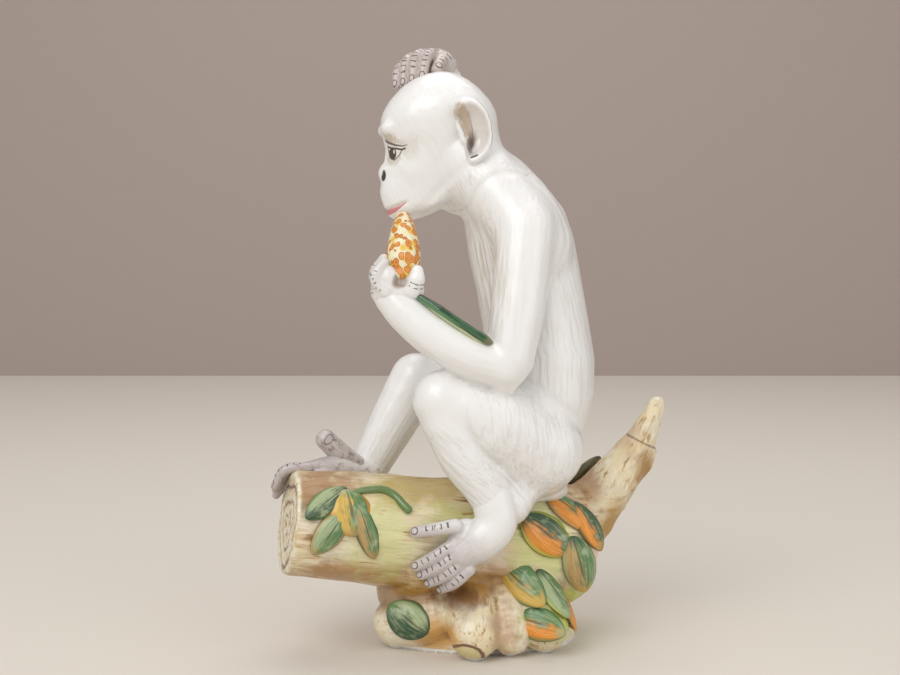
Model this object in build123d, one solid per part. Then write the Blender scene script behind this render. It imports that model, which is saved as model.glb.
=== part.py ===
from build123d import *
import math
import os

# A glazed earthenware monkey squatting on a cut log, eating a spotted fruit.
# It is put together from slip castings and hand-made trims, as the real figure is.
# The monkey faces -X. The origin is on the ground, under the middle of the foot.

# Castings
casting_wall = 5.0
vent_bore = 3.6
cut_overrun = 4.0
joint_swell = 0.3

# Log
log_length = 178.0
log_height = 58.3
log_front_radius = 28.5
log_rear_radius = 37.5
log_rear_round = 17.0
log_rim_round = 4.0
log_yaw = 16.1
log_drop = 7.6
log_stand_share = 0.626
end_disc_thickness = 7.0

# Branch that rises behind the seat
branch_root_radius = 19.0
branch_middle_radius = 14.0
branch_join_radius = 8.2
branch_middle_tip_radius = 7.4
branch_tip_radius = 4.6
branch_run = 37.0
branch_tip_run = 11.0
branch_rise = 45.0
branch_tip_rise = 23.5
branch_set_in = 4.0
branch_lift = 16.0
branch_set = 9.0
branch_tip_set = 5.0
bark_flap_radius = 4.4
bark_flap_length = 15.0
bark_flap_share = 0.62
bark_flap_turn = 150

# Root foot
mound_height = 46.0
mound_half_length = 57.0
mound_half_depth = 38.0
mound_top_half_length = 45.0
mound_top_half_depth = 24.0

# Monkey, measured from the place on the log where it sits
monkey_height = 236.0
monkey_reach = 120.0
monkey_breadth = 100.0
monkey_yaw = 8.0
seat_share = 0.935
torso_half_depth = 31.0
torso_half_breadth = 40.0

# Head
head_half_length = 33.0
head_half_height = 30.0
head_half_breadth = 29.0
muzzle_half_length = 23.0
muzzle_half_height = 18.5
muzzle_half_breadth = 18.0
brow_radius = 6.0
brow_span = 25.0
ear_half_width = 12.0
ear_half_height = 21.0
ear_thickness = 7.0
ear_dish = 4.0
ear_lean = 14.0

# Arms
shoulder_radius = 17.0
upper_arm_radius = 15.0
elbow_radius = 13.0
forearm_radius = 13.2
wrist_radius = 9.6
palm_radius = 9.4
knuckle_radius = 8.4
finger_radius = 2.5
finger_tip_radius = 2.3
thumb_radius = 3.7
thumb_tip_radius = 3.3

# Legs
hip_radius = 25.0
thigh_radius = 25.0
knee_radius = 15.5
calf_radius = 13.8
ankle_radius = 11.5
instep_radius = 12.0
sole_radius = 10.0
toe_radius = 2.7
toe_tip_radius = 2.4
left_big_toe_radius = 3.6
right_big_toe_radius = 6.0

# Fruit and its stalk
fruit_radius = 9.2
fruit_middle_radius = 7.9
fruit_tip_radius = 3.5
stalk_radius = 2.9

# Leaves
leaf_length = 32.0
leaf_width = 17.0
leaf_rise = 3.6
leaf_depth = 9.0
leaf_curve = 46.0
stem_radius = 2.0

# Places on the monkey: shares of its reach, breadth and height from the seat
left_shoulder_shares = (-0.225, -0.50, 0.627)
left_elbow_shares = (-0.30, -0.66, 0.318)
left_wrist_shares = (-0.80, -0.56, 0.455)
left_palm_shares = (-0.855, -0.57, 0.483)
left_knuckle_shares = (-0.755, -0.58, 0.487)
right_shoulder_shares = (-0.29, 0.20, 0.627)
right_elbow_shares = (-0.525, 0.62, 0.80)
right_wrist_shares = (-0.585, 0.20, 0.995)
right_palm_shares = (-0.625, 0.12, 1.027)
right_knuckle_shares = (-0.67, 0.06, 1.035)
left_hip_shares = (-0.15, -0.38, 0.105)
left_knee_shares = (-0.605, -0.58, 0.235)
left_ankle_shares = (-0.36, -0.56, -0.02)
left_heel_shares = (-0.355, -0.57, -0.045)
left_sole_shares = (-0.51, -0.59, -0.122)
right_hip_shares = (-0.18, 0.12, 0.095)
right_knee_shares = (-0.735, 0.12, 0.254)

# Places of the right foot on the log: a share of its length, then shares of its radius
right_ankle_shares = (0.289, -1.084, 1.087)
right_heel_shares = (0.292, -1.015, 0.935)
right_sole_shares = (0.079, -0.568, 0.905)

# Fingers and toes, each from its root over its middle joint to its tip
left_finger_shares = [
    ((-0.88, -0.665, 0.470), (-0.912, -0.675, 0.510), (-0.862, -0.665, 0.552)),
    ((-0.88, -0.605, 0.474), (-0.915, -0.610, 0.515), (-0.866, -0.605, 0.560)),
    ((-0.88, -0.545, 0.474), (-0.915, -0.545, 0.515), (-0.866, -0.545, 0.560)),
    ((-0.88, -0.485, 0.470), (-0.912, -0.480, 0.510), (-0.862, -0.485, 0.552)),
]
left_thumb_shares = [(-0.725, -0.64, 0.483), (-0.70, -0.665, 0.520), (-0.71, -0.65, 0.540)]
right_finger_shares = [
    ((-0.760, 0.050, 1.040), (-0.812, -0.030, 1.022), (-0.820, -0.105, 0.972)),
    ((-0.714, 0.045, 1.052), (-0.768, -0.045, 1.036), (-0.777, -0.125, 0.978)),
    ((-0.668, 0.040, 1.058), (-0.720, -0.055, 1.043), (-0.730, -0.140, 0.985)),
    ((-0.622, 0.035, 1.058), (-0.671, -0.065, 1.043), (-0.681, -0.150, 0.993)),
]
right_thumb_shares = [(-0.60, 0.07, 1.035), (-0.625, -0.03, 1.03), (-0.63, -0.11, 1.012)]
left_toe_shares = [
    ((-0.555, -0.605, -0.100), (-0.64, -0.615, -0.128), (-0.722, -0.585, -0.153)),
    ((-0.535, -0.615, -0.121), (-0.62, -0.605, -0.152), (-0.695, -0.555, -0.180)),
    ((-0.512, -0.620, -0.141), (-0.59, -0.595, -0.175), (-0.655, -0.520, -0.203)),
    ((-0.485, -0.620, -0.159), (-0.54, -0.585, -0.193), (-0.590, -0.500, -0.218)),
]
left_big_toe_shares = [(-0.545, -0.63, -0.055), (-0.63, -0.635, -0.062), (-0.725, -0.605, -0.072)]
right_toe_shares = [
    ((0.052, -0.219, 1.055), (-0.020, -0.302, 0.976), (-0.043, -0.358, 0.651)),
    ((0.062, -0.417, 0.994), (-0.010, -0.504, 0.915), (-0.035, -0.567, 0.588)),
    ((0.074, -0.613, 0.886), (0.002, -0.705, 0.821), (-0.027, -0.776, 0.509)),
    ((0.087, -0.807, 0.714), (0.015, -0.903, 0.654), (-0.018, -0.983, 0.364)),
]
right_big_toe_shares = [(0.220, -0.778, 1.071), (0.166, -0.788, 1.284), (0.116, -0.808, 1.529)]

# Torso sections: place shares, then shares of the half depth and half breadth
torso_section_shares = [
    (-0.130, -0.12, -0.050, 0.62, 0.68),
    (-0.130, -0.12, 0.040, 0.85, 0.87),
    (-0.130, -0.12, 0.130, 0.95, 0.98),
    (-0.130, -0.12, 0.220, 0.98, 1.00),
    (-0.138, -0.12, 0.310, 0.99, 0.97),
    (-0.165, -0.12, 0.405, 0.97, 0.90),
    (-0.204, -0.12, 0.503, 0.95, 0.86),
    (-0.244, -0.12, 0.587, 0.95, 0.82),
    (-0.275, -0.12, 0.648, 0.91, 0.76),
    (-0.345, -0.15, 0.725, 0.74, 0.56),
    (-0.440, -0.18, 0.775, 0.68, 0.50),
]
torso_section_leans = [0, 0, 0, 0, 2, 6, 8, 9, 11, 24, 40]
torso_hollow_sections = slice(1, 10)
head_shares = (-0.614, -0.19, 0.873)
muzzle_shares = (-0.712, -0.235, 0.721)
brow_shares = (-0.833, -0.22, 0.835)
ear_side_shares = (0.56, 0.98, -0.20)
fruit_base_shares = (-0.775, -0.565, 0.539)
fruit_tip_shares = (-0.783, -0.382, 0.652)
stalk_start_share = 0.87
stalk_end_share = 0.225
stalk_start_turn = -39
stalk_end_turn = -56

# Root lobes: start and end as shares of the mound's half length, half depth and height
root_radii = {
    "root_left": (16.0, 17.0, 14.0),
    "root_front": (16.0, 16.0, 14.0),
    "root_ribbed": (12.0, 13.0, 12.0),
    "root_right": (17.0, 17.0, 14.0),
    "root_back_left": (15.0, 17.0, 14.0),
    "root_back_right": (16.0, 18.0, 15.0),
}
root_shares = {
    "root_left": ((-0.45, -0.52, 0.38), (-0.80, -0.50, 0.29)),
    "root_front": ((-0.06, -0.60, 0.55), (-0.04, -1.12, 0.28)),
    "root_ribbed": ((0.24, -0.60, 0.60), (0.30, -0.92, 0.24)),
    "root_right": ((0.52, -0.42, 0.72), (0.64, -0.72, 0.28)),
    "root_back_left": ((-0.34, 0.45, 0.50), (-0.46, 0.72, 0.28)),
    "root_back_right": ((0.50, 0.45, 0.65), (0.62, 0.80, 0.28)),
}

# Leaves: share along their carrier, length share, width share, then turn and spin
leaf_shares = {
    "leaf_left_1": ("log", 0.088, 0.95, 0.85),
    "leaf_left_2": ("log", 0.160, 0.90, 1.00),
    "leaf_left_3": ("log", 0.099, 0.88, 0.90),
    "leaf_left_4": ("log", 0.213, 1.00, 0.72),
    "leaf_right_1": ("log", 0.785, 1.08, 1.35),
    "leaf_right_2": ("log", 0.870, 1.10, 0.95),
    "leaf_right_3": ("log", 0.925, 1.00, 0.85),
    "leaf_right_4": ("log", 0.905, 1.12, 1.15),
    "leaf_right_5": ("root_right", 0.02, 1.15, 1.15),
    "leaf_right_6": ("root_right", 0.45, 1.00, 0.95),
    "leaf_right_7": ("root_right", 1.05, 0.95, 1.10),
    "leaf_right_8": ("root_right", 0.75, 0.90, 0.75),
    "leaf_branch_1": ("branch", 0.42, 0.90, 0.80),
    "leaf_branch_2": ("branch", 0.28, 0.85, 0.75),
    "leaf_base": ("root_left", 0.62, 0.85, 1.25),
    "leaf_back_1": ("log", 0.83, 1.05, 1.20),
    "leaf_back_2": ("log", 0.90, 1.05, 1.00),
    "leaf_back_3": ("log", 0.75, 1.00, 1.05),
    "leaf_back_4": ("root_back_right", 0.60, 1.00, 1.10),
}
leaf_turns = {
    "leaf_left_1": (55, -140),
    "leaf_left_2": (64, -78),
    "leaf_left_3": (88, -122),
    "leaf_left_4": (83, -66),
    "leaf_right_1": (73, -31),
    "leaf_right_2": (50, -40),
    "leaf_right_3": (62, -60),
    "leaf_right_4": (98, -66),
    "leaf_right_5": (48, 25),
    "leaf_right_6": (-8, 20),
    "leaf_right_7": (42, 50),
    "leaf_right_8": (-45, 20),
    "leaf_branch_1": (-58, 12),
    "leaf_branch_2": (-88, 20),
    "leaf_base": (-72, -45),
    "leaf_back_1": (-70, 35),
    "leaf_back_2": (-105, 60),
    "leaf_back_3": (-100, 110),
    "leaf_back_4": (-30, -20),
}
stem_shares = ((0.213, 0.0), (0.275, 0.0), (0.338, 0.0))
stem_turns = (41, 38, 58)


def circle_point(radius, angle, height):
    return (radius * math.cos(angle), 0, height + radius * math.sin(angle))


def limb(start, end, start_radius, middle_radius, end_radius):
    """A round limb with ball ends and a side that may swell at its middle."""
    length = (end - start).length
    low = [circle_point(start_radius, -math.pi / turn, 0) for turn in (2, 4)]
    high = [circle_point(end_radius, math.pi / turn, length) for turn in (2, 4)]
    if math.isclose(2 * middle_radius, start_radius + end_radius):
        sides = [Line((start_radius, 0, 0), (end_radius, 0, length))]
    else:
        middle = (middle_radius, 0, length / 2)
        sides = [Line((start_radius, 0, 0), middle), Line(middle, (end_radius, 0, length))]
    edges = [
        ThreePointArc(low[0], low[1], (start_radius, 0, 0)),
        *sides,
        ThreePointArc((end_radius, 0, length), high[1], high[0]),
        Line(high[0], low[0]),
    ]
    solid = revolve(make_face(edges), Axis.Z)
    return Plane(origin=start, z_dir=end - start) * solid


def bent_limb(places, radius, tip_radius):
    """Two short limbs that share a ball at the middle joint, which stands a little proud."""
    root, middle, tip = places
    lower = limb(root, middle, radius, radius - joint_swell / 2, radius - joint_swell)
    upper = limb(middle, tip, radius, (radius + tip_radius) / 2, tip_radius)
    return lower + upper


def ball(place, half_length, half_breadth, half_height):
    """An egg-shaped ball, turned with the monkey."""
    unit = scale(Sphere(1), by=(half_length, half_breadth, half_height))
    return Location(place, (0, 0, monkey_yaw)) * unit


# Frames that the places are measured in
yaw = math.radians(log_yaw)
drop = math.radians(log_drop)
log_axis = Vector(math.cos(drop) * math.cos(yaw), math.cos(drop) * math.sin(yaw), -math.sin(drop))
log_front = Vector(0, 0, log_height) - log_axis * (log_length * log_stand_share)
log_rear = log_front + log_axis * log_length


def log_radius(share):
    return log_front_radius + (log_rear_radius - log_front_radius) * share


seat = log_front + log_axis * (log_length * seat_share) + Vector(0, 0, log_radius(seat_share))


def on_monkey(shares):
    return seat + Vector(shares[0] * monkey_reach, shares[1] * monkey_breadth, shares[2] * monkey_height)


def on_monkey_all(rows):
    return [on_monkey(row) for row in rows]


def on_mound(shares):
    return Vector(shares[0] * mound_half_length, shares[1] * mound_half_depth, shares[2] * mound_height)


def on_log(shares):
    up = (Vector(0, 0, 1) - log_axis * log_axis.Z).normalized()
    across = log_axis.cross(up) * shares[1] + up * shares[2]
    return log_front + log_axis * (shares[0] * log_length) + across * log_radius(shares[0])


def on_log_all(rows):
    return [on_log(row) for row in rows]


def on_surface(start, end, start_radius, end_radius, share, turn):
    """A place on a limb's skin and the way out of it. Turn 0 is up and 90 is towards -Y."""
    axis = (end - start).normalized()
    up = (Vector(0, 0, 1) - axis * axis.Z).normalized()
    side = axis.cross(up)
    angle = math.radians(turn)
    outward = up * math.cos(angle) + side * math.sin(angle)
    radius = start_radius + (end_radius - start_radius) * share
    return start + (end - start) * share + outward * radius, outward, axis


# Log and branch
def make_log():
    plane = Plane(origin=log_front, z_dir=log_axis)
    centred = (Align.CENTER, Align.CENTER, Align.MIN)
    disc_share = end_disc_thickness / log_length
    disc_radius = log_radius(disc_share)
    disc = Cone(log_front_radius, disc_radius, end_disc_thickness, align=centred)
    disc = fillet(disc.edges().sort_by(Axis.Z)[0], log_rim_round)
    trunk = Cone(disc_radius, log_rear_radius, log_length - end_disc_thickness, align=centred)
    trunk = fillet(trunk.edges().sort_by(Axis.Z)[-1], log_rear_round)
    hollow = Cone(
        disc_radius - casting_wall,
        log_rear_radius - casting_wall - log_rear_round / 2,
        log_length - end_disc_thickness - 2 * casting_wall,
        align=centred,
    )
    trunk_place = Pos(0, 0, end_disc_thickness)
    hollow_place = Pos(0, 0, end_disc_thickness + casting_wall)
    return plane * disc, plane * trunk_place * trunk, plane * hollow_place * hollow


branch_foot = log_rear + Vector(-branch_set_in, -branch_set_in, branch_lift)
branch_join = branch_foot + Vector(branch_run, branch_set, branch_rise)
branch_end = branch_join + Vector(branch_tip_run, branch_tip_set, branch_tip_rise)


def make_branch():
    stub = limb(branch_foot, branch_join, branch_root_radius, branch_middle_radius, branch_join_radius)
    tip_start_radius = branch_join_radius - joint_swell
    tip = limb(branch_join, branch_end, tip_start_radius, branch_middle_tip_radius, branch_tip_radius)
    foot, outward, axis = on_surface(
        branch_foot, branch_join, branch_root_radius, branch_join_radius, bark_flap_share, bark_flap_turn
    )
    flap = limb(
        foot - axis * (bark_flap_length / 2),
        foot + axis * (bark_flap_length / 2),
        bark_flap_radius,
        bark_flap_radius,
        bark_flap_radius,
    )
    return stub, tip, flap


# Root foot
def mound_shape(inset):
    """The foot's outline drawn in by an inset on every side."""
    low = Plane.XY.offset(inset) * Ellipse(mound_half_length - inset, mound_half_depth - inset)
    top = Ellipse(mound_top_half_length - inset, mound_top_half_depth - inset)
    high = Plane.XY.offset(mound_height - inset) * top
    return loft([low, high])


def make_roots():
    roots = {}
    for name, (start_shares, end_shares) in root_shares.items():
        roots[name] = limb(on_mound(start_shares), on_mound(end_shares), *root_radii[name])
    return roots


# Monkey's trunk and head
def torso_shape(inset, rows, leans):
    """Stacked ovals, each leaning forward more as the back bends into the neck."""
    facing = math.radians(monkey_yaw)
    sections = []
    for row, lean_angle in zip(rows, leans):
        lean = math.radians(lean_angle)
        up = Vector(-math.sin(lean) * math.cos(facing), -math.sin(lean) * math.sin(facing), math.cos(lean))
        ahead = Vector(-math.cos(lean) * math.cos(facing), -math.cos(lean) * math.sin(facing), -math.sin(lean))
        plane = Plane(origin=on_monkey(row[:3]), x_dir=ahead, z_dir=up)
        oval = Ellipse(row[3] * torso_half_depth - inset, row[4] * torso_half_breadth - inset)
        sections.append(plane * oval)
    return loft(sections)


def make_head():
    head_centre = on_monkey(head_shares)
    skull = ball(head_centre, head_half_length, head_half_breadth, head_half_height)
    muzzle = ball(on_monkey(muzzle_shares), muzzle_half_length, muzzle_half_breadth, muzzle_half_height)
    brow_centre = on_monkey(brow_shares)
    brow_side = Vector(0, brow_span / 2, 0)
    brow = limb(brow_centre - brow_side, brow_centre + brow_side, brow_radius, brow_radius, brow_radius)
    hollow = ball(
        head_centre,
        head_half_length - casting_wall,
        head_half_breadth - casting_wall,
        head_half_height - casting_wall,
    )
    return skull + muzzle + brow, hollow


def make_ear(side):
    """A dished oval, with its front edge set into the side of the head."""
    along_share, out_share, up_share = ear_side_shares
    centre = on_monkey(head_shares) + Vector(
        along_share * head_half_length,
        side * out_share * head_half_breadth,
        up_share * head_half_height,
    )
    lean = math.radians(ear_lean)
    outward = Vector(-math.sin(lean), side * math.cos(lean), 0)
    plane = Plane(origin=centre, x_dir=(math.cos(lean), side * math.sin(lean), 0), z_dir=outward)
    plate = extrude(Ellipse(ear_half_width, ear_half_height), amount=ear_thickness / 2, both=True)
    dish_height = ear_dish + cut_overrun
    dish = scale(Sphere(1), by=(ear_half_width - ear_dish, ear_half_height - ear_dish, dish_height))
    return plane * (plate - Pos(0, 0, ear_thickness / 2 + cut_overrun) * dish)


# Arms and legs
def make_left_arm():
    shoulder = on_monkey(left_shoulder_shares)
    elbow = on_monkey(left_elbow_shares)
    wrist = on_monkey(left_wrist_shares)
    palm = on_monkey(left_palm_shares)
    knuckle = on_monkey(left_knuckle_shares)
    return {
        "left_upper_arm": [limb(shoulder, elbow, shoulder_radius, upper_arm_radius, elbow_radius)],
        "left_forearm": [limb(elbow, wrist, elbow_radius - joint_swell, forearm_radius, wrist_radius)],
        "left_hand": [limb(palm, knuckle, knuckle_radius, palm_radius, knuckle_radius)],
        "left_fingers": [
            bent_limb(on_monkey_all(rows), finger_radius, finger_tip_radius) for rows in left_finger_shares
        ],
        "left_thumb": [bent_limb(on_monkey_all(left_thumb_shares), thumb_radius, thumb_tip_radius)],
    }


def make_right_arm():
    shoulder = on_monkey(right_shoulder_shares)
    elbow = on_monkey(right_elbow_shares)
    wrist = on_monkey(right_wrist_shares)
    palm = on_monkey(right_palm_shares)
    knuckle = on_monkey(right_knuckle_shares)
    return {
        "right_upper_arm": [limb(shoulder, elbow, shoulder_radius, upper_arm_radius, elbow_radius)],
        "right_forearm": [limb(elbow, wrist, elbow_radius - joint_swell, forearm_radius, wrist_radius)],
        "right_hand": [limb(palm, knuckle, palm_radius, palm_radius, knuckle_radius)],
        "right_fingers": [
            bent_limb(on_monkey_all(rows), finger_radius, finger_tip_radius) for rows in right_finger_shares
        ],
        "right_thumb": [bent_limb(on_monkey_all(right_thumb_shares), thumb_radius, thumb_tip_radius)],
    }


def make_left_leg():
    hip = on_monkey(left_hip_shares)
    knee = on_monkey(left_knee_shares)
    ankle = on_monkey(left_ankle_shares)
    heel = on_monkey(left_heel_shares)
    sole = on_monkey(left_sole_shares)
    big_toe = on_monkey_all(left_big_toe_shares)
    return {
        "left_thigh": [limb(hip, knee, hip_radius, thigh_radius, knee_radius)],
        "left_shin": [limb(knee, ankle, knee_radius - joint_swell, calf_radius, ankle_radius)],
        "left_foot": [limb(heel, sole, instep_radius, instep_radius, sole_radius)],
        "left_toes": [bent_limb(on_monkey_all(rows), toe_radius, toe_tip_radius) for rows in left_toe_shares],
        "left_big_toe": [bent_limb(big_toe, left_big_toe_radius, left_big_toe_radius)],
    }


def make_right_leg():
    hip = on_monkey(right_hip_shares)
    knee = on_monkey(right_knee_shares)
    ankle = on_log(right_ankle_shares)
    heel = on_log(right_heel_shares)
    sole = on_log(right_sole_shares)
    big_toe = on_log_all(right_big_toe_shares)
    return {
        "right_thigh": [limb(hip, knee, hip_radius, thigh_radius, knee_radius)],
        "right_shin": [limb(knee, ankle, knee_radius - joint_swell, calf_radius, ankle_radius)],
        "right_foot": [limb(heel, sole, instep_radius, sole_radius, sole_radius)],
        "right_toes": [bent_limb(on_log_all(rows), toe_radius, toe_tip_radius) for rows in right_toe_shares],
        "right_big_toe": [bent_limb(big_toe, right_big_toe_radius, right_big_toe_radius)],
    }


# Fruit
def make_fruit():
    base = on_monkey(fruit_base_shares)
    tip = on_monkey(fruit_tip_shares)
    fruit = limb(base, tip, fruit_radius, fruit_middle_radius, fruit_tip_radius)
    forearm = (on_monkey(left_elbow_shares), on_monkey(left_wrist_shares), elbow_radius, wrist_radius)
    stalk_start = on_surface(*forearm, stalk_start_share, stalk_start_turn)[0]
    stalk_end = on_surface(*forearm, stalk_end_share, stalk_end_turn)[0]
    stalk = limb(stalk_start, stalk_end, stalk_radius, stalk_radius, stalk_radius)
    return fruit, stalk


# Leaves
def leaf_carrier(name):
    """Start, end and radii of what a leaf lies on."""
    if name == "log":
        return log_front, log_rear, log_front_radius, log_rear_radius
    if name == "branch":
        return branch_foot, branch_join, branch_root_radius, branch_join_radius
    start_shares, end_shares = root_shares[name]
    radii = root_radii[name]
    return on_mound(start_shares), on_mound(end_shares), radii[0], radii[2]


def make_leaf(name):
    """An almond-shaped blade with a domed top, pressed on its carrier."""
    carrier, share, length_share, width_share = leaf_shares[name]
    turn, spin_angle = leaf_turns[name]
    place, outward, axis = on_surface(*leaf_carrier(carrier), share, turn)
    spin = math.radians(spin_angle)
    heading = axis * math.cos(spin) + outward.cross(axis) * math.sin(spin)
    half_length = length_share * leaf_length / 2
    half_width = width_share * leaf_width / 2
    outline = make_face(
        [
            ThreePointArc((-half_length, 0), (0, half_width), (half_length, 0)),
            ThreePointArc((half_length, 0), (0, -half_width), (-half_length, 0)),
        ]
    )
    blade = Pos(0, 0, -leaf_depth) * extrude(outline, amount=leaf_depth + leaf_rise)
    dome = Pos(0, 0, leaf_rise - leaf_curve) * Sphere(leaf_curve)
    return Plane(origin=place, x_dir=heading, z_dir=outward) * (blade & dome)


def make_stem():
    places = []
    for (share, lift_share), turn in zip(stem_shares, stem_turns):
        place, outward, axis = on_surface(*leaf_carrier("log"), share, turn)
        places.append(place + outward * (lift_share * stem_radius))
    return bent_limb(places, stem_radius, stem_radius)


# Put together: a piece gives way to every piece listed before it
def boxes_meet(first, second):
    low = [max(a, b) for a, b in zip(first.min, second.min)]
    high = [min(a, b) for a, b in zip(first.max, second.max)]
    return all(a < b for a, b in zip(low, high))


def largest(shape):
    return shape.solids().sort_by(SortBy.VOLUME)[-1]


def give_way(raw_pieces):
    finished = {}
    taken = []
    for name, solids in raw_pieces.items():
        finished[name] = []
        own = []
        for solid in solids:
            box = solid.bounding_box()
            kept = solid
            for other, other_box in taken:
                if boxes_meet(box, other_box):
                    kept = largest(kept - other)
            finished[name].append(kept)
            own.append((solid, box))
        taken.extend(own)
    return finished


end_disc, log_trunk, log_hollow = make_log()
branch_stub, branch_tip, bark_flap = make_branch()
head, head_hollow = make_head()
fruit, fruit_stalk = make_fruit()
roots = make_roots()

raw = {
    "torso": [torso_shape(0, torso_section_shares, torso_section_leans)],
    "log_trunk": [log_trunk],
    "log_end_disc": [end_disc],
    "root_mound": [mound_shape(0)],
    "head": [head],
    "branch_stub": [branch_stub],
    "branch_tip": [branch_tip],
    "bark_flap": [bark_flap],
}
raw.update({name: [root] for name, root in roots.items()})
raw["fruit"] = [fruit]
left_leg = make_left_leg()
right_leg = make_right_leg()
left_arm = make_left_arm()
right_arm = make_right_arm()
for limbs in (left_leg, right_leg, left_arm, right_arm):
    raw.update(limbs)
raw["left_ear"] = [make_ear(-1)]
raw["right_ear"] = [make_ear(1)]
raw["fruit_stalk"] = [fruit_stalk]
for leaf_name in leaf_shares:
    raw[leaf_name] = [make_leaf(leaf_name)]
raw["leaf_stem"] = [make_stem()]

pieces = give_way(raw)

# Hollows, air vents and the flat ground
torso_hollow = torso_shape(
    casting_wall, torso_section_shares[torso_hollow_sections], torso_section_leans[torso_hollow_sections]
)
pieces["torso"] = [pieces["torso"][0] - torso_hollow]
pieces["log_trunk"] = [pieces["log_trunk"][0] - log_hollow]
pieces["head"] = [pieces["head"][0] - head_hollow]

vent_place = Pos(mound_half_length / 2, 0, 0)
vent = vent_place * Cylinder(vent_bore / 2, 2 * (casting_wall + cut_overrun))
pieces["root_mound"] = [pieces["root_mound"][0] - mound_shape(casting_wall) - vent]

ground_span = 2 * (mound_half_length + mound_half_depth)
ground = Pos(0, 0, -mound_height / 2) * Box(ground_span, ground_span, mound_height)
for name in root_shares:
    pieces[name] = [pieces[name][0] - ground]
for name in leaf_shares:
    if boxes_meet(pieces[name][0].bounding_box(), ground.bounding_box()):
        pieces[name] = [pieces[name][0] - ground]

os.makedirs("parts", exist_ok=True)
for name, solids in pieces.items():
    shapes = [largest(solid) for solid in solids]
    shape = shapes[0] if len(shapes) == 1 else Compound(children=shapes)
    shape.label = name
    export_step(shape, "parts/" + name + ".step")
    print(name, len(shapes), round(sum(solid.volume for solid in shapes)))
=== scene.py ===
import math

import bpy
import numpy as np
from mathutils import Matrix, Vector, noise


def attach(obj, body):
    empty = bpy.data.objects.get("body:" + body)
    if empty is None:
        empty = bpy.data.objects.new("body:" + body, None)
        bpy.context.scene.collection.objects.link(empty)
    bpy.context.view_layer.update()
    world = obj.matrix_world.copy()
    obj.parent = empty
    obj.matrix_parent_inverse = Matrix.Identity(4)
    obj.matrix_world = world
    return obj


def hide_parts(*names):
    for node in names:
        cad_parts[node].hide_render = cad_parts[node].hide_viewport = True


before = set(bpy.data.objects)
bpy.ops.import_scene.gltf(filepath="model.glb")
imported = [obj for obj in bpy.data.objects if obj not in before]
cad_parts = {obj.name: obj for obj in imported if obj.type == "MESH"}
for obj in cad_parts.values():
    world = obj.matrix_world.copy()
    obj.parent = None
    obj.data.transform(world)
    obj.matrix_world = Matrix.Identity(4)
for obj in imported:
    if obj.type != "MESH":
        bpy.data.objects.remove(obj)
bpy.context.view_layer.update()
bpy.ops.object.select_all(action="DESELECT")

# A glazed white monkey squatting on a painted log. Places and sizes are in millimetres.
MM = 0.001
PHOTO_CAMERA = (-16, -770, 225)
PHOTO_PITCH = 3.8
PHOTO_LENS, PHOTO_SENSOR = 54, 36
# How coarse the clay is where forms are run together
BODY_GRAIN, LOG_GRAIN, FOOT_GRAIN, HAND_GRAIN, TRIM_GRAIN = 1.34, 1.05, 0.6, 0.5, 0.5
# How far the painting of one limb is kept from the next one's, so that their streaks differ
LIMB_SHIFT = 400


# Hand-modelling helpers
def only(piece):
    bpy.ops.object.select_all(action="DESELECT")
    piece.select_set(True)
    bpy.context.view_layer.objects.active = piece


def apply_modifier(piece, kind, **settings):
    only(piece)
    modifier = piece.modifiers.new(kind.title(), kind)
    for key, value in settings.items():
        setattr(modifier, key, value)
    bpy.ops.object.modifier_apply(modifier=modifier.name)


def ball(place, half, turn=(0, 0, 0), segments=40, rings=26):
    """An egg-shaped ball at a place, with its three half lengths."""
    bpy.ops.mesh.primitive_uv_sphere_add(
        segments=segments,
        ring_count=rings,
        radius=1,
        location=[c * MM for c in place],
        rotation=[math.radians(a) for a in turn],
    )
    piece = bpy.context.object
    piece.scale = [h * MM for h in half]
    bpy.ops.object.transform_apply(location=True, rotation=True, scale=True)
    return piece


def tube(stations, closed_ends=True, across=10, along=10):
    """A round tube through stations of x, y, z and radius, with ball ends."""
    bpy.ops.curve.primitive_bezier_curve_add()
    curve = bpy.context.object
    spline = curve.data.splines[0]
    spline.bezier_points.add(len(stations) - 2)
    for point, (x, y, z, radius) in zip(spline.bezier_points, stations):
        point.co = (x * MM, y * MM, z * MM)
        point.radius = radius
        point.handle_left_type = "AUTO"
        point.handle_right_type = "AUTO"
    curve.data.dimensions = "3D"
    curve.data.bevel_depth = MM
    curve.data.bevel_resolution = across
    curve.data.resolution_u = along
    curve.data.use_fill_caps = True
    only(curve)
    bpy.ops.object.convert(target="MESH")
    bpy.ops.object.transform_apply(location=True, rotation=True, scale=True)
    pieces = [bpy.context.object]
    if closed_ends:
        for x, y, z, radius in (stations[0], stations[-1]):
            pieces.append(ball((x, y, z), (radius, radius, radius)))
    return pieces


def join(pieces, name):
    bpy.ops.object.select_all(action="DESELECT")
    for piece in pieces:
        piece.select_set(True)
    bpy.context.view_layer.objects.active = pieces[0]
    bpy.ops.object.join()
    joined = bpy.context.object
    joined.name = name
    return joined


def fuse(pieces, name, grain, rounds):
    """Joins overlapping forms into one skin, as slip runs them together, and softens it."""
    skin = join(pieces, name)
    apply_modifier(skin, "REMESH", mode="VOXEL", voxel_size=grain * MM)
    apply_modifier(skin, "SMOOTH", factor=0.5, iterations=rounds)
    only(skin)
    bpy.ops.object.shade_smooth()
    return skin


def places_of(piece):
    flat = np.empty(len(piece.data.vertices) * 3)
    piece.data.vertices.foreach_get("co", flat)
    return flat.reshape(-1, 3) / MM


def normals_of(piece):
    flat = np.empty(len(piece.data.vertices) * 3, np.float32)
    piece.data.vertex_normals.foreach_get("vector", flat)
    return flat.reshape(-1, 3).astype(float)


def move_to(piece, places):
    piece.data.vertices.foreach_set("co", (places * MM).astype(np.float32).ravel())
    piece.data.update()


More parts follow.
